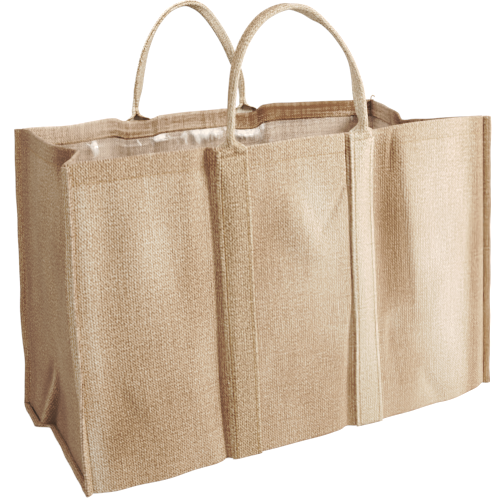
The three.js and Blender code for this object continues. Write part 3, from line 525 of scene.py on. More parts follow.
def quadObject(name, vertices, quads, uvs=None, sides=None, tones=None):
    # a mesh of quads from whole arrays, smooth shaded, with its uv map, the side of the cloth that
    # each face belongs to (0 outside, 1 inside, between for a cut edge) and the tone of each point
    mesh = bpy.data.meshes.new(name)
    mesh.vertices.add(len(vertices))
    mesh.vertices.foreach_set("co", vertices.astype(np.float32).ravel())
    mesh.loops.add(quads.size)
    mesh.loops.foreach_set("vertex_index", quads.astype(np.int32).ravel())
    mesh.polygons.add(len(quads))
    mesh.polygons.foreach_set("loop_start", np.arange(0, quads.size, quads.shape[1], dtype=np.int32))
    mesh.polygons.foreach_set("use_smooth", np.ones(len(quads), bool))
    if uvs is not None:
        layer = mesh.uv_layers.new(name="cloth")
        layer.data.foreach_set("uv", uvs.astype(np.float32).ravel())
    if sides is not None:
        inside = mesh.attributes.new("insideFace", "FLOAT", "FACE")
        inside.data.foreach_set("value", sides.astype(np.float32))
    if tones is not None:
        tone = mesh.attributes.new("tone", "FLOAT", "POINT")
        tone.data.foreach_set("value", tones.astype(np.float32))
    mesh.update()
    mesh.validate()
    piece = bpy.data.objects.new(name, mesh)
    bpy.context.scene.collection.objects.link(piece)
    return piece


# Painted light and shade: where the cloth is painted lighter or darker for the light and shade that fall on
# it, middle and reach of each soft patch, and by how much. All are in mm, but across an end wall they are
# shares of its width.
paintedShading = {
    "front": {"x": [-55, -215, 150, 128, 270, -117, -272, 212, -284, 34, 12, 0, 225, -148, -192, 136, -258],
              "z": [265, 100, 70, 260, 200, 200, 200, 220, 50, 270, 312, 60, 60, 240, 285, 143, 50],
              "wide": [26, 70, 34, 20, 14, 6, 8, 58, 9, 34, 22, 80, 46, 20, 26, 11, 24],
              "tall": [80, 90, 45, 90, 400, 300, 400, 190, 90, 150, 46, 70, 70, 64, 50, 20, 70],
              "amount": [-0.16, -0.2, -0.14, -0.18, -0.4, -0.22, 0.18, 0.3, 0.4, 0.13, 0.16, -0.14, 0.14,
                         -0.2, 0.1, 0.24, -0.14]},
    "backInside": {"x": [160, -122, -205, -185, 235], "z": [390, 355, 385, 345, 340],
                   "wide": [115, 22, 60, 50, 65], "tall": [18, 30, 30, 22, 30],
                   "amount": [-1, -0.6, 0.25, 0.5, 0.8]},
    "left": {"x": [0.35, 0.1, 0.5, 0.95, 0.6, 0.035], "z": [382, 388, 50, 200, 380, 275],
             "wide": [0.07, 0.1, 0.1, 0.05, 0.2, 0.035], "tall": [16, 14, 50, 400, 60, 100],
             "amount": [-0.45, 0.25, -0.15, -0.15, 0.1, -0.5]},
    "right": {"x": [0.78, 0.97, 0.5], "z": [392, 380, 395], "wide": [0.17, 0.04, 0.06], "tall": [26, 60, 30],
              "amount": [0.4, -0.4, -0.3]},
    "rightInside": {"x": [0.8], "z": [340], "wide": [0.3], "tall": [26], "amount": [1.3]},
}


def patchTone(table, at, z):
    # sum of soft round patches: amount times a bell of the distance over the reach
    total = 0 * at * z
    patches = zip(*(table[key] for key in ("x", "z", "wide", "tall", "amount")))
    for x, level, wide, tall, amount in patches:
        total = total + amount * np.exp(-((at - x) / wide) ** 2 - ((z - level) / tall) ** 2)
    return total


def hemOf(levels, columns):
    # the turned-in hem stands inwards down to the hem line, but not in the pinched seams
    inHem = (levels >= hemLine)[:, None] & ((columns > columns[0]) & (columns < columns[-1]))[None, :]
    return np.pad(np.where(inHem, bag["hemStandOut"], 0.0), ((0, footSteps + 1), (0, 0)))


def skinOf(levels, columns):
    # full cloth with a slight groove along the hem's stitching
    groove = bag["hemGroove"] * np.exp(-((levels - hemStitching) / bag["grooveReach"]) ** 2)
    groove = np.pad(groove, (0, footSteps + 1))
    return np.broadcast_to((bag["clothThickness"] - groove)[:, None], (len(groove), len(columns)))


def footRows(wall, leftEdge, rightEdge, above):
    # an ellipse's quarter from the wall's last row, under to the base, between the seams' roots
    flat = wallPoints(wall, wallColumns, 0)
    below = np.stack([flat[:, 0], flat[:, 1] + wall["inward"] * bag["footInset"],
                      0 * flat[:, 0] + bag["clothThickness"]], -1)
    t = np.linspace(0, 1, footSteps + 2)[1:, None, None]
    rows = above[None] + (below - above)[None] * quarterTurn(t)
    rows[:, 0], rows[:, -1] = leftEdge, rightEdge
    return rows


def wallGrid(wall, levels, leftRoots, rightRoots):
    # a long wall and its turned-under foot, down to the base
    seamRows = slice(len(levels), len(levels) + footSteps + 1)
    points = wallPoints(wall, wallColumns[None, :], levels[:, None])
    points[:, 0], points[:, -1] = leftRoots[:len(levels)], rightRoots[:len(levels)]
    under = footRows(wall, leftRoots[seamRows], rightRoots[seamRows], points[-1])
    return np.concatenate([points, under])


def frontTone(points):
    # the painted light and shade patches, and a darker hem, most on the left
    count, level = len(fineLevels), fineLevels[:, None]
    tone = patchTone(paintedShading["front"], points[:, :, 0], np.pad(level, ((0, footSteps + 1), (0, 0))))
    fade = 1 - 0.75 * smoothStep((points[0, :, 0] + 170) / 120)
    tone[:count] -= 0.13 * smoothStep((level - hemLine + 1) / 3) * fade[None, :]
    # painted shade: the valley beside the second strap is painted dark up to the ridge on its right, and the
    # shade ends there sharply
    ridge, x = frontWall["folds"][4], points[:count, :, 0]
    shade = smoothStep((throughRows(ridge, "x", level) - 2 - x) / 8) * smoothStep((x - 100) / 26)
    tone[:count] -= 0.22 * shade * smoothStep((level - 120) / 60) * (1 - smoothStep((level - 355) / 40))
    return tone


def buildBody():
    # front, base and back in one piece, with its half of the pinched seams round both ends
    leftHalf = seamHalf(seamPath(leftEnd, fineLevels, coarseLevels), 1)
    rightHalf = seamHalf(seamPath(rightEnd, fineLevels, coarseLevels), 1)
    cloth = newCloth()
    front = wallGrid(frontWall, fineLevels, leftHalf[:, 0], rightHalf[:, 0])
    back = wallGrid(backWall, coarseLevels, leftHalf[::-1, 0], rightHalf[::-1, 0])
    backLevels = np.pad(coarseLevels, (0, footSteps + 1))[:, None]
    addGrid(cloth, front, hemOf(fineLevels, wallColumns), skinOf(fineLevels, wallColumns),
            tone=frontTone(front))
    # the back's inside takes painted light and shade from its patches
    addGrid(cloth, back, hemOf(coarseLevels, wallColumns), skinOf(coarseLevels, wallColumns),
            uvStart=(1300, 7), flip=True, tone=-0.05,
            innerTone=patchTone(paintedShading["backInside"], back[:, :, 0], backLevels))

    # the base runs straight from foot to foot, and out to the seams' roots near its ends
    baseStart = len(fineLevels) + footSteps
    baseRows = slice(baseStart, baseStart + len(baseShares))
    base = front[-1][None] + (back[-1] - front[-1])[None] * baseShares[:, None, None]
    leftStray = leftHalf[baseRows, 0] - base[:, 0]
    rightStray = rightHalf[baseRows, 0] - base[:, -1]
    nearLeft = np.clip(1 - wallColumns, 0, 1)[None, :, None]
    nearRight = np.clip(wallColumns - 4, 0, 1)[None, :, None]
    base = base + leftStray[:, None] * nearLeft + rightStray[:, None] * nearRight
    base[0], base[-1] = front[-1], back[-1]
    addGrid(cloth, base, uvStart=(0, -400))

    thick = np.broadcast_to(seamThickness, leftHalf.shape[:2])
    addGrid(cloth, leftHalf[:, ::-1], thick=thick[:, ::-1], uvStart=(-20, 0))
    # the right seam half is painted a little darker, as shade
    addGrid(cloth, rightHalf, thick=thick, uvStart=(700, 0), tone=-0.1)
    return clothMesh("bodyHessian", cloth)


def tuckPaintedLight(tuck, share, z):
    # a painted highlight on the tuck's crest, and painted shadow behind it at its top and before it at its
    # foot
    up = np.clip(z / tuck["top"], 0, 1)
    off = share - tuck["foot"] - (tuck["apex"] - tuck["foot"]) * up
    crest = 0.34 * np.exp(-(off / 0.015) ** 2)
    behind = 0.5 * up * np.exp(-((off - 0.07) / 0.04) ** 2)
    before = 0.5 * (1 - up) * np.exp(-((off + 0.045) / 0.03) ** 2)
    return smoothStep((1 - up) / 0.3) * (crest - behind - before)


def buildEnd(name, end):
    # an end wall with its foot, and its half of the pinched seam round it
    half = seamHalf(seamPath(end, fineLevels, fineLevels), -1)
    count = len(fineLevels)
    isLeft = end["inward"] > 0
    points = endPoints(end, baseShares[None, :], fineLevels[:, None])
    points[:, 0], points[:, -1] = half[:count, 0], half[::-1][:count, 0]
    bottom = half[count + footSteps:count + footSteps + len(baseShares), 0]
    t = np.linspace(0, 1, footSteps + 2)[1:, None, None]
    under = points[-1][None] + (bottom - points[-1])[None] * t
    under[:-1, 0] = half[count:count + footSteps, 0]
    under[:-1, -1] = half[::-1][count:count + footSteps, 0]

    share, z = baseShares[None, :], np.pad(fineLevels, (0, footSteps + 1))[:, None]
    # painted light and shade on the end wall from its patches
    tone = patchTone(paintedShading["left" if isLeft else "right"], share, z)
    # the whole wall a little darker, and its hem more so
    tone = tone - 0.14 - 0.08 * smoothStep((z - hemLine + 1) / 3)
    if end["tuck"]:
        tone = tone + tuckPaintedLight(end["tuck"], share, z)
    # the right end's inside is painted lighter, against the shade that falls in it
    innerTone = tone if isLeft else tone + patchTone(paintedShading["rightInside"], share, z)
    cloth = newCloth()
    addGrid(cloth, np.concatenate([points, under]), hemOf(fineLevels, baseShares),
            skinOf(fineLevels, baseShares), uvStart=(2100, 0), flip=isLeft, tone=tone, innerTone=innerTone)

    # seen from outside, the left end's seam half lies to the right of its root, and the right's to
    # the left. On the left it has a painted highlight up the front corner and painted shade up the back one
    thick = np.broadcast_to(seamThickness, half.shape[:2])
    if isLeft:
        seamPaintedLight = np.zeros(half.shape[:2])
        seamPaintedLight[:count], seamPaintedLight[-count:] = 0.15, -0.1
        addGrid(cloth, half, thick=thick, uvStart=(2500, 0), tone=seamPaintedLight)
    else:
        addGrid(cloth, half[:, ::-1], thick=thick[:, ::-1], uvStart=(2500, 0))
    return clothMesh(name, cloth)


bodyPiece = buildBody()
print("body cloth:", len(bodyPiece.data.polygons), "faces")
leftPiece = buildEnd("endHessianLeft", leftEnd)
rightPiece = buildEnd("endHessianRight", rightEnd)
print("end walls:", len(leftPiece.data.polygons), "faces each")

# Straps: each one strip, flat up the wall, folded lengthwise over the rim into its handle, and flat
# down the wall again
strap = {
    "halfWidth": 18.4,
    "gap": 0.35,
    "stitchInset": 0.8,     # place of the edge stitching, as a share of the half width
    "rings": 176,
    "shoulder": 381.0,      # where the flat strip starts to gather, and where it has become the neck
    "neck": 408.0,
    "plainTone": 0.15,      # how much lighter the handles are than the flat strips
}
flatLevels = np.concatenate([[1.2], np.linspace(5, 370, 92), np.linspace(372, 378.5, 4)])
shoulderLevels = np.linspace(strap["shoulder"], strap["neck"], 27)
frontHandle = {
    "x": [-94, -92, -89.5, -85, -79.3, -68.4, -53.9, -35.3, -10, 12.4, 28, 40, 54.9, 70.5, 77.9, 80.4,
          82.4, 85],
    "y": [-149.6, -148.6, -146.5, -144, -141.5, -138.5, -136, -134, -133, -133.5, -134.7, -136, -138, -141,
          -144, -146, -147.5, -149],
    "z": [408, 418, 438, 461, 482.5, 505.6, 524, 538, 545.8, 542.6, 533.7, 524.7, 509, 484, 459.2, 438,
          422, 408],
    "broad": [5.4, 6, 6.9, 6.9, 6.9, 6.9, 6.9, 6.9, 6.9, 6.9, 6.9, 6.6, 6.9, 6.9, 7.2, 7.4, 7, 5.6],
    "thin": [4.9, 4.7, 4, 3.6, 3.5, 3.4, 3.4, 3.5, 3.6, 3.6, 3.5, 3.3, 3.3, 3.4, 3.6, 4, 4.6, 4.9],
    "turn": [-24, -20, -9, 5, 12, 19, 22, 20, 8, -22, -20, 8, 18, 20, -8, -50, -42, 10],
    "legTone": [-0.2, 0.12],    # of the left and right flat strip
    # painted shade on the handle's half away from the light
    "paintedSideShade": -0.4,           # of the handle's half away from the light
}
backHandle = {
    "x": [-106.5, -104, -100.5, -95, -86, -70.4, -50.1, -25, -6.8, 6.8, 22, 36.5, 48.5, 57.5, 61, 62.3],
    "y": [153.2, 152.4, 151, 149.5, 147.8, 145.8, 144.3, 143.6, 143.9, 144.7, 146, 147.5, 149.2, 150.3,
          151.5, 153.2],
    "z": [408, 420, 435, 460, 489.8, 519.7, 541.4, 550.4, 545.8, 535.8, 517, 493.5, 466, 443, 424.6, 408],
    "broad": [5.2, 5.8, 6.9, 6.9, 6.9, 6.9, 6.9, 6.9, 6.9, 7.1, 7.2, 7.1, 6.9, 6.9, 6.2, 5.2],
    "thin": [4.6, 4.2, 3.6, 3.4, 3.4, 3.4, 3.4, 3.5, 3.4, 3.4, 3.4, 3.4, 3.5, 3.7, 4.2, 4.6],
    "turn": [18, 35, 60, 58, 42, 20, 12, 14, 45, 66, 72, 66, 40, 18, 5, -20],
    "legTone": [0.0, 0.0],
    "paintedSideShade": 0.0,
}
# how a flat strap folds lengthwise into its handle: fold from 0, flat, to 1, shut. halfWidth is
# the length of each half's middle line, skin the strap's thickness and bend the share of a half
# that the fold's curve takes.
shoulderRows = {
    "z": [381, 386.5, 390, 392.8, 395.2, 397.5, 400, 402.7, 408],
    "fold": [0, 0.02, 0.08, 0.21, 0.42, 0.65, 0.85, 0.96, 1],
    "halfWidth": [18.4, 18.4, 18.2, 17.6, 16.4, 14.4, 11.8, 10, 9],
    "skin": [2.4, 2.6, 3, 3.6, 4.4, 5, 5.5, 5.9, 6],
    "bend": [0.2, 0.2, 0.22, 0.26, 0.3, 0.32, 0.32, 0.32, 0.32],
}


def foldedSection(halfWidth, fold, skin, bend):
    # each half's middle line leaves the fold at an angle that grows to fold times 90 degrees over
    # the share bend; the section is that line given its thickness and a round edge. The thickness
    # rises at the turned-in edges and dips along their stitching. x runs across, y inwards.
    edge = np.linspace(0, 1, 21) ** 0.85
    angle = fold[:, None] * np.pi / 2 * np.clip(edge[None, :] / bend[:, None], 0, 1)
    mid = (angle[:, 1:] + angle[:, :-1]) / 2
    start = np.zeros((len(fold), 1))
    x = np.concatenate([start, np.cumsum(np.cos(mid) * np.diff(edge), 1)], 1) * halfWidth[:, None]
    y = np.concatenate([start, np.cumsum(np.sin(mid) * np.diff(edge), 1)], 1) * halfWidth[:, None]
    groove = 0.3 * np.exp(-((edge - strap["stitchInset"]) / 0.035) ** 2)
    rise = 0.26 * smoothStep((edge - 0.85) / 0.05) - groove
    half = skin[:, None] / 2 * (1 + rise[None, :] * (1 - 0.7 * fold[:, None]))
    sides = [(x + way * np.sin(angle) * half, y - way * np.cos(angle) * half) for way in (1, -1)]
    tips = []
    for turn in (0.25, 0.5, 0.75):
        out, along = math.cos(turn * np.pi), math.sin(turn * np.pi)
        last, reach = angle[:, -1:], half[:, -1:]
        tips.append((x[:, -1:] + reach * (out * np.sin(last) + along * np.cos(last)),
                     y[:, -1:] + reach * (along * np.sin(last) - out * np.cos(last))))
    rightX = np.concatenate([sides[0][0], *[tip[0] for tip in tips], sides[1][0][:, ::-1]], 1)
    rightY = np.concatenate([sides[0][1], *[tip[1] for tip in tips], sides[1][1][:, ::-1]], 1)
    # the two halves of a shut fold stay either side of the middle
    rightX = np.maximum(rightX, 0.06 * fold[:, None] * (np.arange(rightX.shape[1]) > 0))
    loopX = np.concatenate([rightX, -rightX[:, ::-1][:, 1:-1]], 1)
    loopY = np.concatenate([rightY, rightY[:, ::-1][:, 1:-1]], 1)
    # round the section: its length, 0 at the middle of the outside, and its tone, a painted highlight on what
    # stands up and painted shade in the groove
    run = np.concatenate([edge, [1.03, 1.06, 1.09], 2.12 - edge[::-1]])
    tone = np.concatenate([rise * 0.5, [0.1, 0, -0.2], 0 * edge])
    around = np.concatenate([run, -run[::-1][1:-1]]) * strap["halfWidth"]
    return loopX, loopY, around, np.concatenate([tone, tone[::-1][1:-1]])


def handlePath(table, samples):
    # smooth curve through the handle's rows by length along them, with its tangent
    keys = ["x", "y", "z", "broad", "thin", "turn"]
    rows = np.array([table[key] for key in keys], float)
    run = runAlong(rows[:3].T)
    curve = dict(zip(keys, rows), run=run)
    at = np.linspace(0, run[-1], samples)
    out = {key: throughRows(curve, key, at, "run") for key in keys}
    centre = np.stack([out["x"], out["y"], out["z"]], -1)
    return centre, unit(np.gradient(centre, axis=0)), out["broad"], out["thin"], np.radians(out["turn"])


def strapLeg(wall, handle, firstColumn, way):
    # rings of the flat strip on its wall and of the shoulder, where it gathers into the neck. The
    # outermost point keeps a gap from the wall; above the rim the ring slides over to the handle
    # and turns with it
    height = np.concatenate([flatLevels, shoulderLevels])
    fold, halfWidth, skin, bend = (throughRows(shoulderRows, key, height)
                                   for key in ("fold", "halfWidth", "skin", "bend"))
    x, y, around, tone = foldedSection(halfWidth, fold, skin, bend)
    level = np.minimum(height, strap["shoulder"])
    column = firstColumn + 0.5 + np.clip(x * way / (2 * strap["halfWidth"]), -0.5, 0.5)
    onWall = wallPoints(wall, column, level[:, None])
    centre = wallPoints(wall, firstColumn + 0.5, level)
    endRow = 0 if way > 0 else -1
    neckX, neckY = handle["x"][endRow], handle["y"][endRow]
    outwards = -wall["inward"]
    lift = smoothStep((height - strap["shoulder"] - 4) / (strap["neck"] - strap["shoulder"] - 4))[:, None]
    flat = onWall[..., 1] * outwards + bag["clothThickness"] + strap["gap"] + skin[:, None] / 2 - y
    gathered = neckY * outwards + handle["broad"][endRow] - skin[:, None] / 2 - y
    out = flat + (gathered - flat) * lift
    # pinch beside the middle ridge, a level crease under the gathers, which swell out, and slight
    # puckers along the edge stitching
    above = height[:, None] - strap["shoulder"]
    pinch = np.exp(-((x * way - 2) / 5) ** 2) * smoothStep((above - 2) / 6) * smoothStep((19 - above) / 8)
    crease = np.exp(-((above - 4.5 - x * way / 12) / 1.5) ** 2)
    phase = height[:, None] / 4.1 + 2 * np.sin(height[:, None] / 23)
    pucker = np.exp(-((np.abs(x) - 16) / 4) ** 2) * np.sin(phase)
    outerFace = np.abs(around)[None, :] < strap["halfWidth"]
    swell = np.exp(-((above - 9) / 4) ** 2) * (1 - pinch)
    out = out - outerFace * (1.8 * pinch + 0.7 * crease - 0.16 * pucker * (1 - lift) - 1.2 * swell)
    middle = centre[:, :1] + (neckX - centre[:, :1]) * lift
    points = np.stack([middle + x * way, outwards * out, height[:, None] + 0 * x], -1)
    spin = np.radians(handle["turn"][endRow]) * lift * wall["inward"] * way
    off = points - np.stack([middle, neckY + 0 * middle, height[:, None]], -1)
    points[..., 0] += off[..., 0] * (np.cos(spin) - 1) - off[..., 1] * np.sin(spin)
    points[..., 1] += off[..., 1] * (np.cos(spin) - 1) + off[..., 0] * np.sin(spin)
    # painted shade darkens the pinch and the crease on the outer face, and the inner face is painted lighter
    # where the gathers open, against the shade in there
    innerFace = smoothStep(np.abs(around)[None, :] / strap["halfWidth"] * 4 - 5)
    hollow = innerFace * smoothStep(above / 5) * smoothStep((24 - above) / 6)
    tone = tone[None, :] + handle["legTone"][endRow] * (1 - lift) - (0.22 * pinch + 0.25 * crease) * outerFace
    tone = tone + 0.6 * hollow
    return points, around, tone


strapLegs = []          # paths of the straps' edge stitching, with the way out of the cloth


def buildStrap(name, wall, handle):
    # rings up one leg, over the handle and down the other leg. A handle's ring is the shut fold's
    # section laid square to the path, and turned round it by that place's own angle
    outward = np.array([0, -wall["inward"], 0.0])
    leftLeg, around, leftTone = strapLeg(wall, handle, 1, 1)
    rightLeg, _, rightTone = strapLeg(wall, handle, 3, -1)
    row = np.argmin(np.abs(around - strap["stitchInset"] * strap["halfWidth"]))
    for leg in (leftLeg, rightLeg):
        for column in (row, -row):
            path = leg[:len(flatLevels) + 1, column] + outward * 0.2
            strapLegs.append((path, np.tile(outward, (len(path), 1))))
    centre, tangent, broad, thin, turn = handlePath(handle, strap["rings"])
    square = unit(outward - tangent * (tangent @ outward)[:, None])
    under = np.cross(tangent, square) * wall["inward"]
    wide = square * np.cos(turn)[:, None] + under * np.sin(turn)[:, None]
    side = under * np.cos(turn)[:, None] - square * np.sin(turn)[:, None]
    # the shut fold's section, drawn in to the handle's own breadth and thickness
    fold, bend = np.ones(len(centre)), np.full(len(centre), shoulderRows["bend"][-1])
    skin = thin * 1.22
    halfWidth = (2 * broad - skin) / (1 - bend * (1 - 2 / np.pi))
    x, y, _, ringTone = foldedSection(halfWidth, fold, skin, bend)
    x = x * (thin / np.abs(x).max(1))[:, None]
    points = centre[:, None] + side[:, None] * x[..., None]
    points = points + wide[:, None] * ((broad - skin / 2)[:, None] - y)[..., None]
    rings = np.concatenate([leftLeg, points[1:-1], rightLeg[::-1]])
    # the handle's tone: the ring's painted highlight and shade, the handles' lighter tone, and painted shade
    # on the half away from the light
    farHalf = smoothStep(-around / (0.6 * strap["halfWidth"]))
    handleTone = 0.6 * ringTone + strap["plainTone"] + handle["paintedSideShade"] * farHalf
    handleTone = np.broadcast_to(handleTone, points.shape[:2])
    tones = np.concatenate([leftTone, handleTone[1:-1], rightTone[::-1]])
    return tubeObject(name, rings, around, tones)


def tubeObject(name, rings, around, tones):
    # closed rings joined in order; each end is shut by rungs of quads across its ring
    count, size = rings.shape[:2]
    index = np.arange(count * size).reshape(count, size)
    nextIndex = np.roll(index, -1, axis=1)
    quads = np.stack([index[:-1], nextIndex[:-1], nextIndex[1:], index[1:]], -1).reshape(-1, 4)
    run = runAlong(rings.mean(1))
    u = np.broadcast_to(around[None, :], (count, size))
    v = np.broadcast_to(run[:, None], (count, size))
    uNext = np.roll(u, -1, axis=1)
    corners = ((u[:-1], v[:-1]), (uNext[:-1], v[:-1]), (uNext[1:], v[1:]), (u[1:], v[1:]))
    uvs = np.stack([np.stack(corner, -1) for corner in corners], -2).reshape(-1, 4, 2) * mm
    vertices = rings.reshape(-1, 3)
    rung = np.arange(1, size // 2 - 1)
    cap = np.concatenate([[[-1, 0, 1, 2]], np.stack([rung + 1, rung + 2, -rung - 1, -rung], -1)])
    quads = np.concatenate([quads, index[0][cap[:, ::-1]], index[-1][cap]])
    uvs = np.concatenate([uvs, *[np.stack([u[end][cap], v[end][cap]], -1) * mm for end in (0, -1)]])
    # faces point out when the volume that they shut in comes out above 0
    first, second, third, fourth = (vertices[quads[:, k]] for k in range(4))
    volume = (first * (np.cross(second, third) + np.cross(third, fourth))).sum()
    if volume < 0:
        quads, uvs = quads[:, ::-1], uvs[:, ::-1]
    return quadObject(name, vertices * mm, quads, uvs, np.zeros(len(quads)), tones.reshape(-1))


frontStrap = buildStrap("frontStrap", frontWall, frontHandle)
backStrap = buildStrap("backStrap", backWall, backHandle)
print("straps:", len(frontStrap.data.polygons), "faces each")

# Film lining
film = {
    "stand": 2.6,           # how far it hangs clear of the cloth
    "thickness": 0.4,       # real film is far thinner, but its two skins have to stay apart
    "top": hemLine - 1.5,
    "foot": 12.0,
    "wrinkle": 0.8,
    # where, in x and y, the lowest ring draws in, over how far, and by how much
    "drawInFrom": [250, 100],
    "drawInOver": 20,
    "drawIn": 6,
    # where the film billows off the back wall below the hem, and catches the light
    "billows": {"x": [-181, -120, -76, -30, 7, 38, 60, 84, 102],
                "z": [356, 352, 362, 350, 362, 366, 360, 364, 350],
                "wide": [14, 22, 18, 16, 20, 12, 16, 10, 9], "tall": [26, 26, 20, 30, 20, 16, 22, 18, 22],
                "amount": [6, 4, 6, 3, 7, 5, 7, 4, 3]},
    # where it is painted milky white, a painted reflection of the light
    "glare": {"x": [-173, -76, -4, 58, -38, 88], "z": [362, 369, 366, 368, 360, 362],
              "wide": [6, 15, 26, 24, 16, 8], "tall": [15, 8, 12, 13, 9, 14],
              "amount": [1, 0.9, 0.95, 0.95, 0.4, 0.5]},
}


def buildFilm():
    # one tray: a ring round the four walls at each level, a little off them, then rings that
    # shrink to the middle of the base
    levels = spread([film["top"], 330, film["foot"]], [22, 44])
    frontColumns = spread([0.06, 0.86, 1, 2, 2.93, 3, 4, 4.94], [30, 12, 8, 34, 5, 8, 32])
    backColumns = spread([0.06, 1, 2, 3, 4, 4.94], [36, 10, 40, 10, 40])
    endShares = spread([0.05, 0.95], [44])
    z = levels[:, None]
    stand = film["stand"] * smoothStep((film["top"] - z) / 18 + 0.35)

    def wrinkled(run, seed):
        # fine creases that run mostly up and down, and a few across, as film keeps from its folding
        fine = ripples(run, z, seed, (12, 34), (60, 260), 8)
        across = ripples(run, z, seed + 1, (30, 80), (25, 70), 6)
        return film["wrinkle"] * (0.6 + np.abs(fine) ** 1.5 * 0.5 + 0.3 * across)

    rings = []
    for wall, columns, seed in ((frontWall, frontColumns, 21), (backWall, backColumns, 22)):
        points = wallPoints(wall, columns[None, :], z)
        out = stand + wrinkled(points[..., 0], seed)
        if wall is backWall:
            out = out + patchTone(film["billows"], points[..., 0], z) * smoothStep((film["top"] - z) / 8)
        points[..., 1] += wall["inward"] * out
        rings.append(points)
    for end, seed in ((leftEnd, 23), (rightEnd, 24)):
        points = endPoints(end, endShares[None, :], z)
        points[..., 0] += end["inward"] * (stand + wrinkled(points[..., 1], seed))
        rings.append(points)
    front, back, left, right = rings
    ring = np.concatenate([front, right, back[:, ::-1], left[:, ::-1]], 1)
    # the lowest ring draws in a little from the wall that it lies along, both ways in the corners
    last = ring[-1]
    past = np.clip((np.abs(last[:, :2]) - film["drawInFrom"]) / film["drawInOver"], 0, 1)
    inset = -np.sign(last[:, :2]) * past * film["drawIn"]
    bottom = np.concatenate([last[:, :2] + inset, np.full((len(last), 1), bag["clothThickness"] + 1.2)], 1)
    middle = np.array([0, 0, bag["clothThickness"] + 1.4])
    shrink = np.array([0.97, 0.85, 0.6, 0.3, 0.02])[:, None, None]
    floorRings = middle + (bottom - middle)[None] * shrink
    grid = np.concatenate([ring, bottom[None], floorRings])
    grid = np.concatenate([grid, grid[:, :1]], 1)
    # the painted reflection on the back wall's film, carried as its tone
    glare = np.zeros(grid.shape[:2])
    backStart = front.shape[1] + right.shape[1]
    onBack = slice(backStart, backStart + back.shape[1])
    glare[:len(levels), onBack] = patchTone(film["glare"], ring[:, onBack, 0], z)
    cloth = newCloth()
    addGrid(cloth, grid, thick=film["thickness"], tone=glare)
    return clothMesh("filmLining", cloth)


filmPiece = buildFilm()
print("film:", len(filmPiece.data.polygons), "faces")


# Sewing: short twine stitches along the hem, the straps' edges, and the pinched seams
stitch = {
    "pitch": 4.4,
    "length": 3.0,
    "radius": 0.546,
    # places along a stitch, as shares of its length, and how thick it is there
    "profile": ((-0.5, 0.45), (-0.28, 1), (0.28, 1), (0.5, 0.45)),
    "betweenStraps": ((0.03, 0.98), (2.02, 2.98), (4.02, 4.97)),    # columns where the hem's rows run
}
looseThread = {
    "radius": 1.0,
    "path": [[283, 141.5, 386], [283.5, 142, 390], [284.5, 142.5, 393.5], [287, 142.7, 395.6],
             [289.8, 142.5, 394.8], [290.6, 142.3, 392.4]],
}


def stitchRun(path, normals):
    # stitches as blunt four-sided spindles along a path: one every pitch, half sunk in the cloth
    run = runAlong(path)
    at = np.arange(stitch["pitch"], run[-1] - stitch["pitch"], stitch["pitch"])
    at = at[np.interp(at, run, path[:, 2]) > 0.7]       # none under the base
    middle = np.stack([np.interp(at, run, path[:, k]) for k in range(3)], -1)
    ahead = np.stack([np.interp(at + 1, run, path[:, k]) for k in range(3)], -1)
    up = unit(np.stack([np.interp(at, run, normals[:, k]) for k in range(3)], -1))
    along = unit(ahead - middle)
    across = unit(np.cross(along, up))
    lean = along + across * 0.12 * np.sin(at * 1.7)[:, None]
    rings = []
    for place, size in stitch["profile"]:
        sunk = middle + lean * place * stitch["length"] - up * (1 - size) * 0.35
        for corner in range(4):
            a = np.pi * (0.25 + corner / 2)
            rings.append(sunk + (across * np.cos(a) + up * np.sin(a)) * size * stitch["radius"])
    vertices = np.stack(rings, 1)
    sides = [[k + j, k + (j + 1) % 4, k + 4 + (j + 1) % 4, k + 4 + j] for k in (0, 4, 8) for j in range(4)]
    quads = np.array(sides + [[3, 2, 1, 0], [12, 13, 14, 15]])
    return vertices.reshape(-1, 3), (quads[None] + 16 * np.arange(len(at))[:, None, None]).reshape(-1, 4)


def threadEnd():
    # a loose end of twine that curls up out of the back right corner: a six-sided tube
    path = np.array(looseThread["path"])
    ahead = unit(np.gradient(path, axis=0))
    square = unit(np.cross(ahead, [0.2, 1.0, 0.1]))
    other = np.cross(ahead, square)
    a = np.pi * np.arange(6)[:, None] / 3
    spokes = square[:, None] * np.cos(a) + other[:, None] * np.sin(a)
    rings = path[:, None] + looseThread["radius"] * spokes
    index = np.arange(36).reshape(6, 6)
    after = np.roll(index, -1, axis=1)
    quads = np.stack([index[:-1], after[:-1], after[1:], index[1:]], -1).reshape(-1, 4)
    ends = np.array([[3, 2, 1, 0], [5, 4, 3, 0], [30, 31, 32, 33], [30, 33, 34, 35]])
    return rings.reshape(-1, 3), np.concatenate([quads, ends])


def buildStitches():
    # the hem's rows outside and inside, a row on either face of each pinched seam, and the straps' edges
    paths = []

    def addRow(path, out, clear):
        paths.append((path + out * clear, np.tile(out, (len(path), 1))))

    for wall in (frontWall, backWall):
        outwards = np.array([0, -wall["inward"], 0.0])
        for low, high in stitch["betweenStraps"]:
            addRow(wallPoints(wall, np.linspace(low, high, 90), hemStitching), outwards, 1.6)
        inside = wallPoints(wall, np.linspace(0.03, 4.97, 300), hemStitching - 0.5)
        addRow(inside, -outwards, bag["hemStandOut"] + 0.1)
    for end in (leftEnd, rightEnd):
        outwards = np.array([-end["inward"], 0, 0.0])
        addRow(endPoints(end, np.linspace(0.03, 0.97, 150), hemStitching), outwards, 1.6)
        root, pointing, wallSide, reach = seamPath(end, fineLevels, fineLevels)
        for way in (1, -1):
            offset = pointing * (reach * 0.5)[:, None] + wallSide * way * (bag["clothThickness"] + 0.65)
            paths.append((root + offset, wallSide * way))
    paths += strapLegs
    vertices, quads, count = [], [], 0
    for points, faces in [stitchRun(path, normals) for path, normals in paths] + [threadEnd()]:
        vertices.append(points)
        quads.append(faces + count)
        count += len(points)
    return quadObject("juteStitches", np.concatenate(vertices) * mm, np.concatenate(quads))


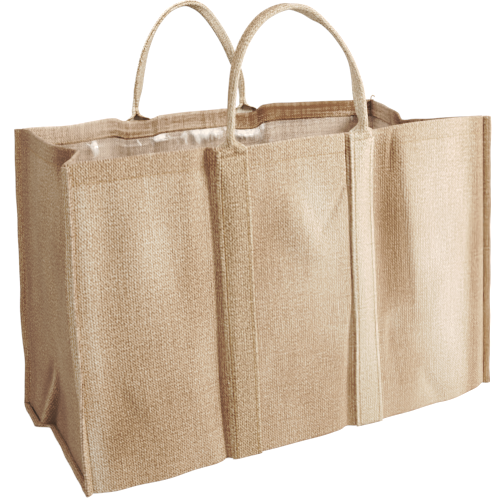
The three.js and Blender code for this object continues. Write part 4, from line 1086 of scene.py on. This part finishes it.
stitches = buildStitches()
print("stitches:", len(stitches.data.polygons), "faces")


# Materials
def linear(hexColour):
    # sRGB hex to the linear values that shaders use
    values = [int(hexColour[i:i + 2], 16) / 255 for i in (1, 3, 5)]
    return [v / 12.92 if v <= 0.04045 else ((v + 0.055) / 1.055) ** 2.4 for v in values] + [1.0]


def newMaterial(name):
    material = bpy.data.materials.new(name)
    material.use_nodes = True
    material.node_tree.nodes.clear()
    return material, material.node_tree


def addNode(tree, kind, settings=None, links=None):
    # a node with its properties and socket values, and its inputs linked to other nodes' outputs
    node = tree.nodes.new(kind)
    for key, value in (settings or {}).items():
        if isinstance(key, str) and hasattr(node, key):
            setattr(node, key, value)
        else:
            node.inputs[key].default_value = value
    for key, source in (links or {}).items():
        tree.links.new(source, node.inputs[key])
    return node


jute = {
    "ribsPerMetre": 350,    # yarns 2.9 mm apart, a little coarser than the real 2.2 mm, so as to show
    "wander": 0.0026,       # twice how far in metres a yarn strays sideways
    "pale": "#E4DCCD",
    "light": "#D3C4B1",
    "middle": "#B69B83",
    "dark": "#866E5B",
    "insideLight": "#EAD2BE",
    "insideDark": "#7F6651",
    # how much of the light and dark is the weave's ribs, the upright and level yarns, the pits
    # between them, and broad clouds
    "weave": 0.32,
    "upright": 0.42,
    "level": 0.3,
    "pits": 1.5,
    "cloud": 0.35,
}
webbing = {
    **jute,
    "light": "#DCD0BE",
    "middle": "#BEA68D",
    "dark": "#856D59",
    "weave": 0.3,
    "upright": 0.25,
    "cloud": 0.25,
}


def hessianMaterial(name, look):
    # jute hessian: uneven bast yarn in a plain weave. To the eye it is upright ribs with fine
    # slanting dashes where the yarns cross, some lighter and darker yarns, and no shine at all.
    # Its inside is the same cloth seen in the bag's own shade, redder and with longer slubs.
    material, tree = newMaterial(name)

    def add(kind, settings=None, links=None):
        return addNode(tree, kind, settings, links).outputs

    def combine(operation, first, second):
        # a Math node on two values, each a number or another node's output
        values = {0: first, 1: second}
        numbers = {k: v for k, v in values.items() if isinstance(v, (int, float))}
        sockets = {k: v for k, v in values.items() if k not in numbers}
        return add("ShaderNodeMath", {"operation": operation, **numbers}, sockets)[0]

    uv = add("ShaderNodeUVMap", {"uv_map": "cloth"})[0]
    sway = add("ShaderNodeTexNoise", {"Scale": 45.0, "Detail": 3.0}, {"Vector": uv})["Color"]
    centred = add("ShaderNodeVectorMath", {"operation": "SUBTRACT", 1: (0.5, 0.5, 0.5)}, {0: sway})[0]
    shift = add("ShaderNodeVectorMath", {"operation": "SCALE", "Scale": look["wander"]}, {0: centred})[0]
    swayed = add("ShaderNodeVectorMath", {"operation": "ADD"}, {0: uv, 1: shift})[0]

    def wave(across, up):
        # a sine of so many ribs per metre across and up the cloth
        turns = (across * 2 * math.pi, up * 2 * math.pi, 0.0)
        phase = add("ShaderNodeVectorMath", {"operation": "DOT_PRODUCT", 1: turns}, {0: swayed})["Value"]
        return combine("SINE", phase, 0.0)

    def yarn(across, up, detail=2.0):
        # noise drawn out along the yarn, centred on 0
        drawn = add("ShaderNodeVectorMath", {"operation": "MULTIPLY", 1: (across, up, 1.0)}, {0: swayed})[0]
        noise = add("ShaderNodeTexNoise", {"Scale": 1.0, "Detail": detail}, {"Vector": drawn})[0]
        return combine("SUBTRACT", noise, 0.5)

    def mixed(parts):
        # the sum of all parts, each times its weight
        total = combine("MULTIPLY", parts[0][0], parts[0][1])
        for part, weight in parts[1:]:
            total = combine("ADD", total, combine("MULTIPLY", part, weight))
        return total

    ribs = look["ribsPerMetre"]
    weave = mixed([(wave(ribs, 0), 0.5), (wave(ribs * 0.88, ribs * 0.78), 0.5)])
    pits = yarn(430, 400, 1.0)
    # the tone attribute: painted light and shade laid on the cloth and straps
    paintedLightAttribute = add("ShaderNodeAttribute", {"attribute_name": "tone"})["Fac"]
    tone = mixed([(weave, look["weave"]), (yarn(330, 16), look["upright"]), (yarn(16, 300), look["level"]),
                  (pits, look["pits"]), (yarn(14, 10, 3.0), look["cloud"]), (paintedLightAttribute, 1.0)])
    # from 0, the darkest yarn, to 1, the palest
    centre = {"operation": "MULTIPLY_ADD", "use_clamp": True, 1: 0.8, 2: 0.4}
    tone = add("ShaderNodeMath", centre, {0: tone})[0]
    ramp = addNode(tree, "ShaderNodeValToRGB", {}, {0: tone})
    stops = ramp.color_ramp.elements
    stops[0].color = linear(look["dark"])
    stops[1].color = linear(look["pale"])
    stops.new(0.4).color = linear(look["middle"])
    stops.new(0.8).color = linear(look["light"])
    # a Mix node takes colours at its inputs 6 and 7 and gives theirs at output 2
    slubs = mixed([(yarn(130, 6), 0.8), (yarn(6, 240), 0.9), (tone, 1.0)])
    within = add("ShaderNodeMix", {"data_type": "RGBA", 6: linear(look["insideDark"]),
                                   7: linear(look["insideLight"])}, {0: slubs})[2]
    sideNumber = add("ShaderNodeAttribute", {"attribute_name": "insideFace"})["Fac"]
    colour = add("ShaderNodeMix", {"data_type": "RGBA"}, {0: sideNumber, 6: ramp.outputs[0], 7: within})[2]
    height = mixed([(weave, 0.5), (pits, 1.5)])
    bump = add("ShaderNodeBump", {"Strength": 0.5, "Distance": 0.0006}, {"Height": height})[0]
    shader = add("ShaderNodeBsdfPrincipled", {"Roughness": 0.93, "IOR": 1.5, "Specular IOR Level": 0.15,
                                              "Sheen Weight": 0.08, "Sheen Roughness": 0.6},
                 {"Base Color": colour, "Normal": bump})[0]
    add("ShaderNodeOutputMaterial", {}, {0: shader})
    return material


def twineMaterial():
    # jute sewing twine: a shade darker than the cloth, so that the stitches read as a dotted line
    material, tree = newMaterial("juteTwine")
    look = {"Base Color": linear("#AC8E6D"), "Roughness": 0.9, "IOR": 1.5}
    shader = addNode(tree, "ShaderNodeBsdfPrincipled", look)
    addNode(tree, "ShaderNodeOutputMaterial", {}, {0: shader.outputs[0]})
    return material


def filmMaterial():
    # clear polythene film: smooth and thin, so that the cloth shows through it, with fine upright
    # creases about 9 mm apart, and painted milky white with ragged edges, a painted reflection of the light
    material, tree = newMaterial("clearPolythene")

    def add(kind, settings=None, links=None):
        return addNode(tree, kind, settings, links).outputs

    place = add("ShaderNodeTexCoord")["Object"]
    drawn = add("ShaderNodeVectorMath", {"operation": "MULTIPLY", 1: (115.0, 115.0, 46.0)}, {0: place})[0]
    creases = add("ShaderNodeTexNoise", {"Scale": 1.0, "Detail": 5.0, "Roughness": 0.6}, {"Vector": drawn})[0]
    bump = add("ShaderNodeBump", {"Strength": 0.3, "Distance": 0.003}, {"Height": creases})[0]
    # the painted reflection, laid on the film as its tone
    glare = add("ShaderNodeAttribute", {"attribute_name": "tone"})["Fac"]
    ragged = add("ShaderNodeMath", {"operation": "MULTIPLY_ADD", 1: 2.6}, {0: creases, 2: glare})[0]
    haze = add("ShaderNodeMapRange", {"From Min": 1.6, "From Max": 2.2, "To Min": 0.08, "To Max": 0.85},
               {"Value": ragged})[0]
    shader = add("ShaderNodeBsdfPrincipled", {"Base Color": linear("#F7EDE2"), "Roughness": 0.16,
                                              "IOR": 1.5, "Specular IOR Level": 0.6},
                 {"Normal": bump, "Alpha": haze})[0]
    add("ShaderNodeOutputMaterial", {}, {0: shader})
    return material


juteCloth = hessianMaterial("juteHessian", jute)
juteStrap = hessianMaterial("juteWebbing", webbing)
clearFilm = filmMaterial()

stitches.data.materials.append(twineMaterial())
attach(stitches, "root")
parts = [
    (bodyPiece, ["body_cloth"], "jute_cloth", juteCloth),
    (leftPiece, ["gusset_left"], "jute_cloth", juteCloth),
    (rightPiece, ["gusset_right"], "jute_cloth", juteCloth),
    (frontStrap, ["strap_front"], "jute_strap", juteStrap),
    (backStrap, ["strap_back"], "jute_strap", juteStrap),
    (filmPiece, ["film_lining"], "clear_film", clearFilm),
]
for piece, nodes, slot, material in parts:
    piece.data.materials.append(material)
    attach(piece, "root")
    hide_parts(*nodes)

# Studio: pale floor, soft light from the upper right, white surroundings
studio = {
    "surroundLight": 0.42,      # how strongly the surroundings light the bag, and how they show
    "surroundShown": 1.1,
    "paperGlow": 0.1,           # the same for the floor, which is lit from below like a light table
    "paperShown": 0.8,
    "keyPower": 19.5,
    "fillPower": 1.6,
    "sidePower": 1.7,
    "insidePower": 1.2,
    # a shop photograph's contrast: shadows a little deeper, light tones paler
    "contrast": ((0.09, 0.063), (0.2, 0.24), (0.3, 0.392), (0.49, 0.617), (0.7, 0.775), (0.86, 0.9)),
}


def cameraOrLight(tree, lights, shown):
    # one strength for what the camera sees of a surface, another for how it lights the rest
    seen = addNode(tree, "ShaderNodeLightPath").outputs["Is Camera Ray"]
    strength = addNode(tree, "ShaderNodeMapRange", {"To Min": lights, "To Max": shown}, {"Value": seen})
    return strength.outputs[0]


floorMesh = bpy.data.meshes.new("studioFloor")
floorMesh.from_pydata([(-6, -6, 0), (6, -6, 0), (6, 6, 0), (-6, 6, 0)], [], [(0, 1, 2, 3)])
floor = bpy.data.objects.new("studioFloor", floorMesh)
bpy.context.scene.collection.objects.link(floor)
# matt white paper
floorMaterial, floorTree = newMaterial("studioPaper")
glow = cameraOrLight(floorTree, studio["paperGlow"], studio["paperShown"])
paper = addNode(floorTree, "ShaderNodeBsdfPrincipled", {"Base Color": linear("#DCDCDC"), "Roughness": 0.9,
                                                        "Emission Color": linear("#FFFFFF")},
                {"Emission Strength": glow})
addNode(floorTree, "ShaderNodeOutputMaterial", {}, {0: paper.outputs[0]})
floor.data.materials.append(floorMaterial)


def softBox(name, place, aim, size, power, colour=(1, 1, 1)):
    light = bpy.data.lights.new(name, "AREA")
    light.shape, light.size, light.energy, light.color = "SQUARE", size, power, colour
    lamp = bpy.data.objects.new(name, light)
    lamp.location = place
    lamp.visible_camera = False
    lamp.rotation_euler = (Vector(aim) - Vector(place)).to_track_quat("-Z", "Y").to_euler()
    bpy.context.scene.collection.objects.link(lamp)


softBox("keyLight", (0.95, -0.95, 0.98), (0.02, -0.05, 0.2), 0.5, studio["keyPower"], (1, 0.985, 0.96))
softBox("fillLight", (-1.5, -1.7, 1.3), (-0.1, 0, 0.2), 1.2, studio["fillPower"])
softBox("sideLight", (-1.2, -0.4, 1.2), (0.2, 0.05, 0.35), 0.8, studio["sidePower"], (1, 0.93, 0.84))
softBox("overheadLight", (-0.22, 0.06, 0.8), (0.28, 0.06, 0.36), 0.3, studio["insidePower"])

world = bpy.data.worlds.new("studioWhite")
world.use_nodes = True
worldTree = world.node_tree
worldTree.nodes.clear()
strength = cameraOrLight(worldTree, studio["surroundLight"], studio["surroundShown"])
sky = addNode(worldTree, "ShaderNodeBackground", {"Color": (1, 1, 1, 1)}, {"Strength": strength})
addNode(worldTree, "ShaderNodeOutputWorld", {}, {0: sky.outputs[0]})
bpy.context.scene.world = world

looks = bpy.context.scene.view_settings
looks.view_transform = "Standard"
looks.use_curve_mapping = True
for level, shown in studio["contrast"]:
    looks.curve_mapping.curves[3].points.new(level, shown)
looks.curve_mapping.update()

# Camera as in the photograph: turned 24.8 degrees to the right and 16.5 down
view = {
    "place": (-0.4999, -1.0676, 0.5691),
    "yaw": 24.84,
    "pitch": 16.51,
    "roll": -2.28,
    "focalPixels": 886.7,       # focal length in pixels of the photograph, which is this many across:
    "photoPixels": 500,
}
yaw, pitch, roll = (math.radians(view[key]) for key in ("yaw", "pitch", "roll"))
forward = Vector((math.sin(yaw) * math.cos(pitch), math.cos(yaw) * math.cos(pitch), -math.sin(pitch)))
right = Vector((math.cos(yaw), -math.sin(yaw), 0))
upward = right.cross(forward)
rolled = (right * math.cos(roll) + upward * math.sin(roll), upward * math.cos(roll) - right * math.sin(roll))
right, upward = rolled
lens = bpy.data.cameras.new("photoCamera")
lens.sensor_width = 36
lens.lens = lens.sensor_width * view["focalPixels"] / view["photoPixels"]
camera = bpy.data.objects.new("photoCamera", lens)
camera.matrix_world = Matrix((
    (right.x, upward.x, -forward.x, view["place"][0]),
    (right.y, upward.y, -forward.y, view["place"][1]),
    (right.z, upward.z, -forward.z, view["place"][2]),
    (0, 0, 0, 1),
))
bpy.context.scene.collection.objects.link(camera)
bpy.context.scene.camera = camera
print("studio ready")
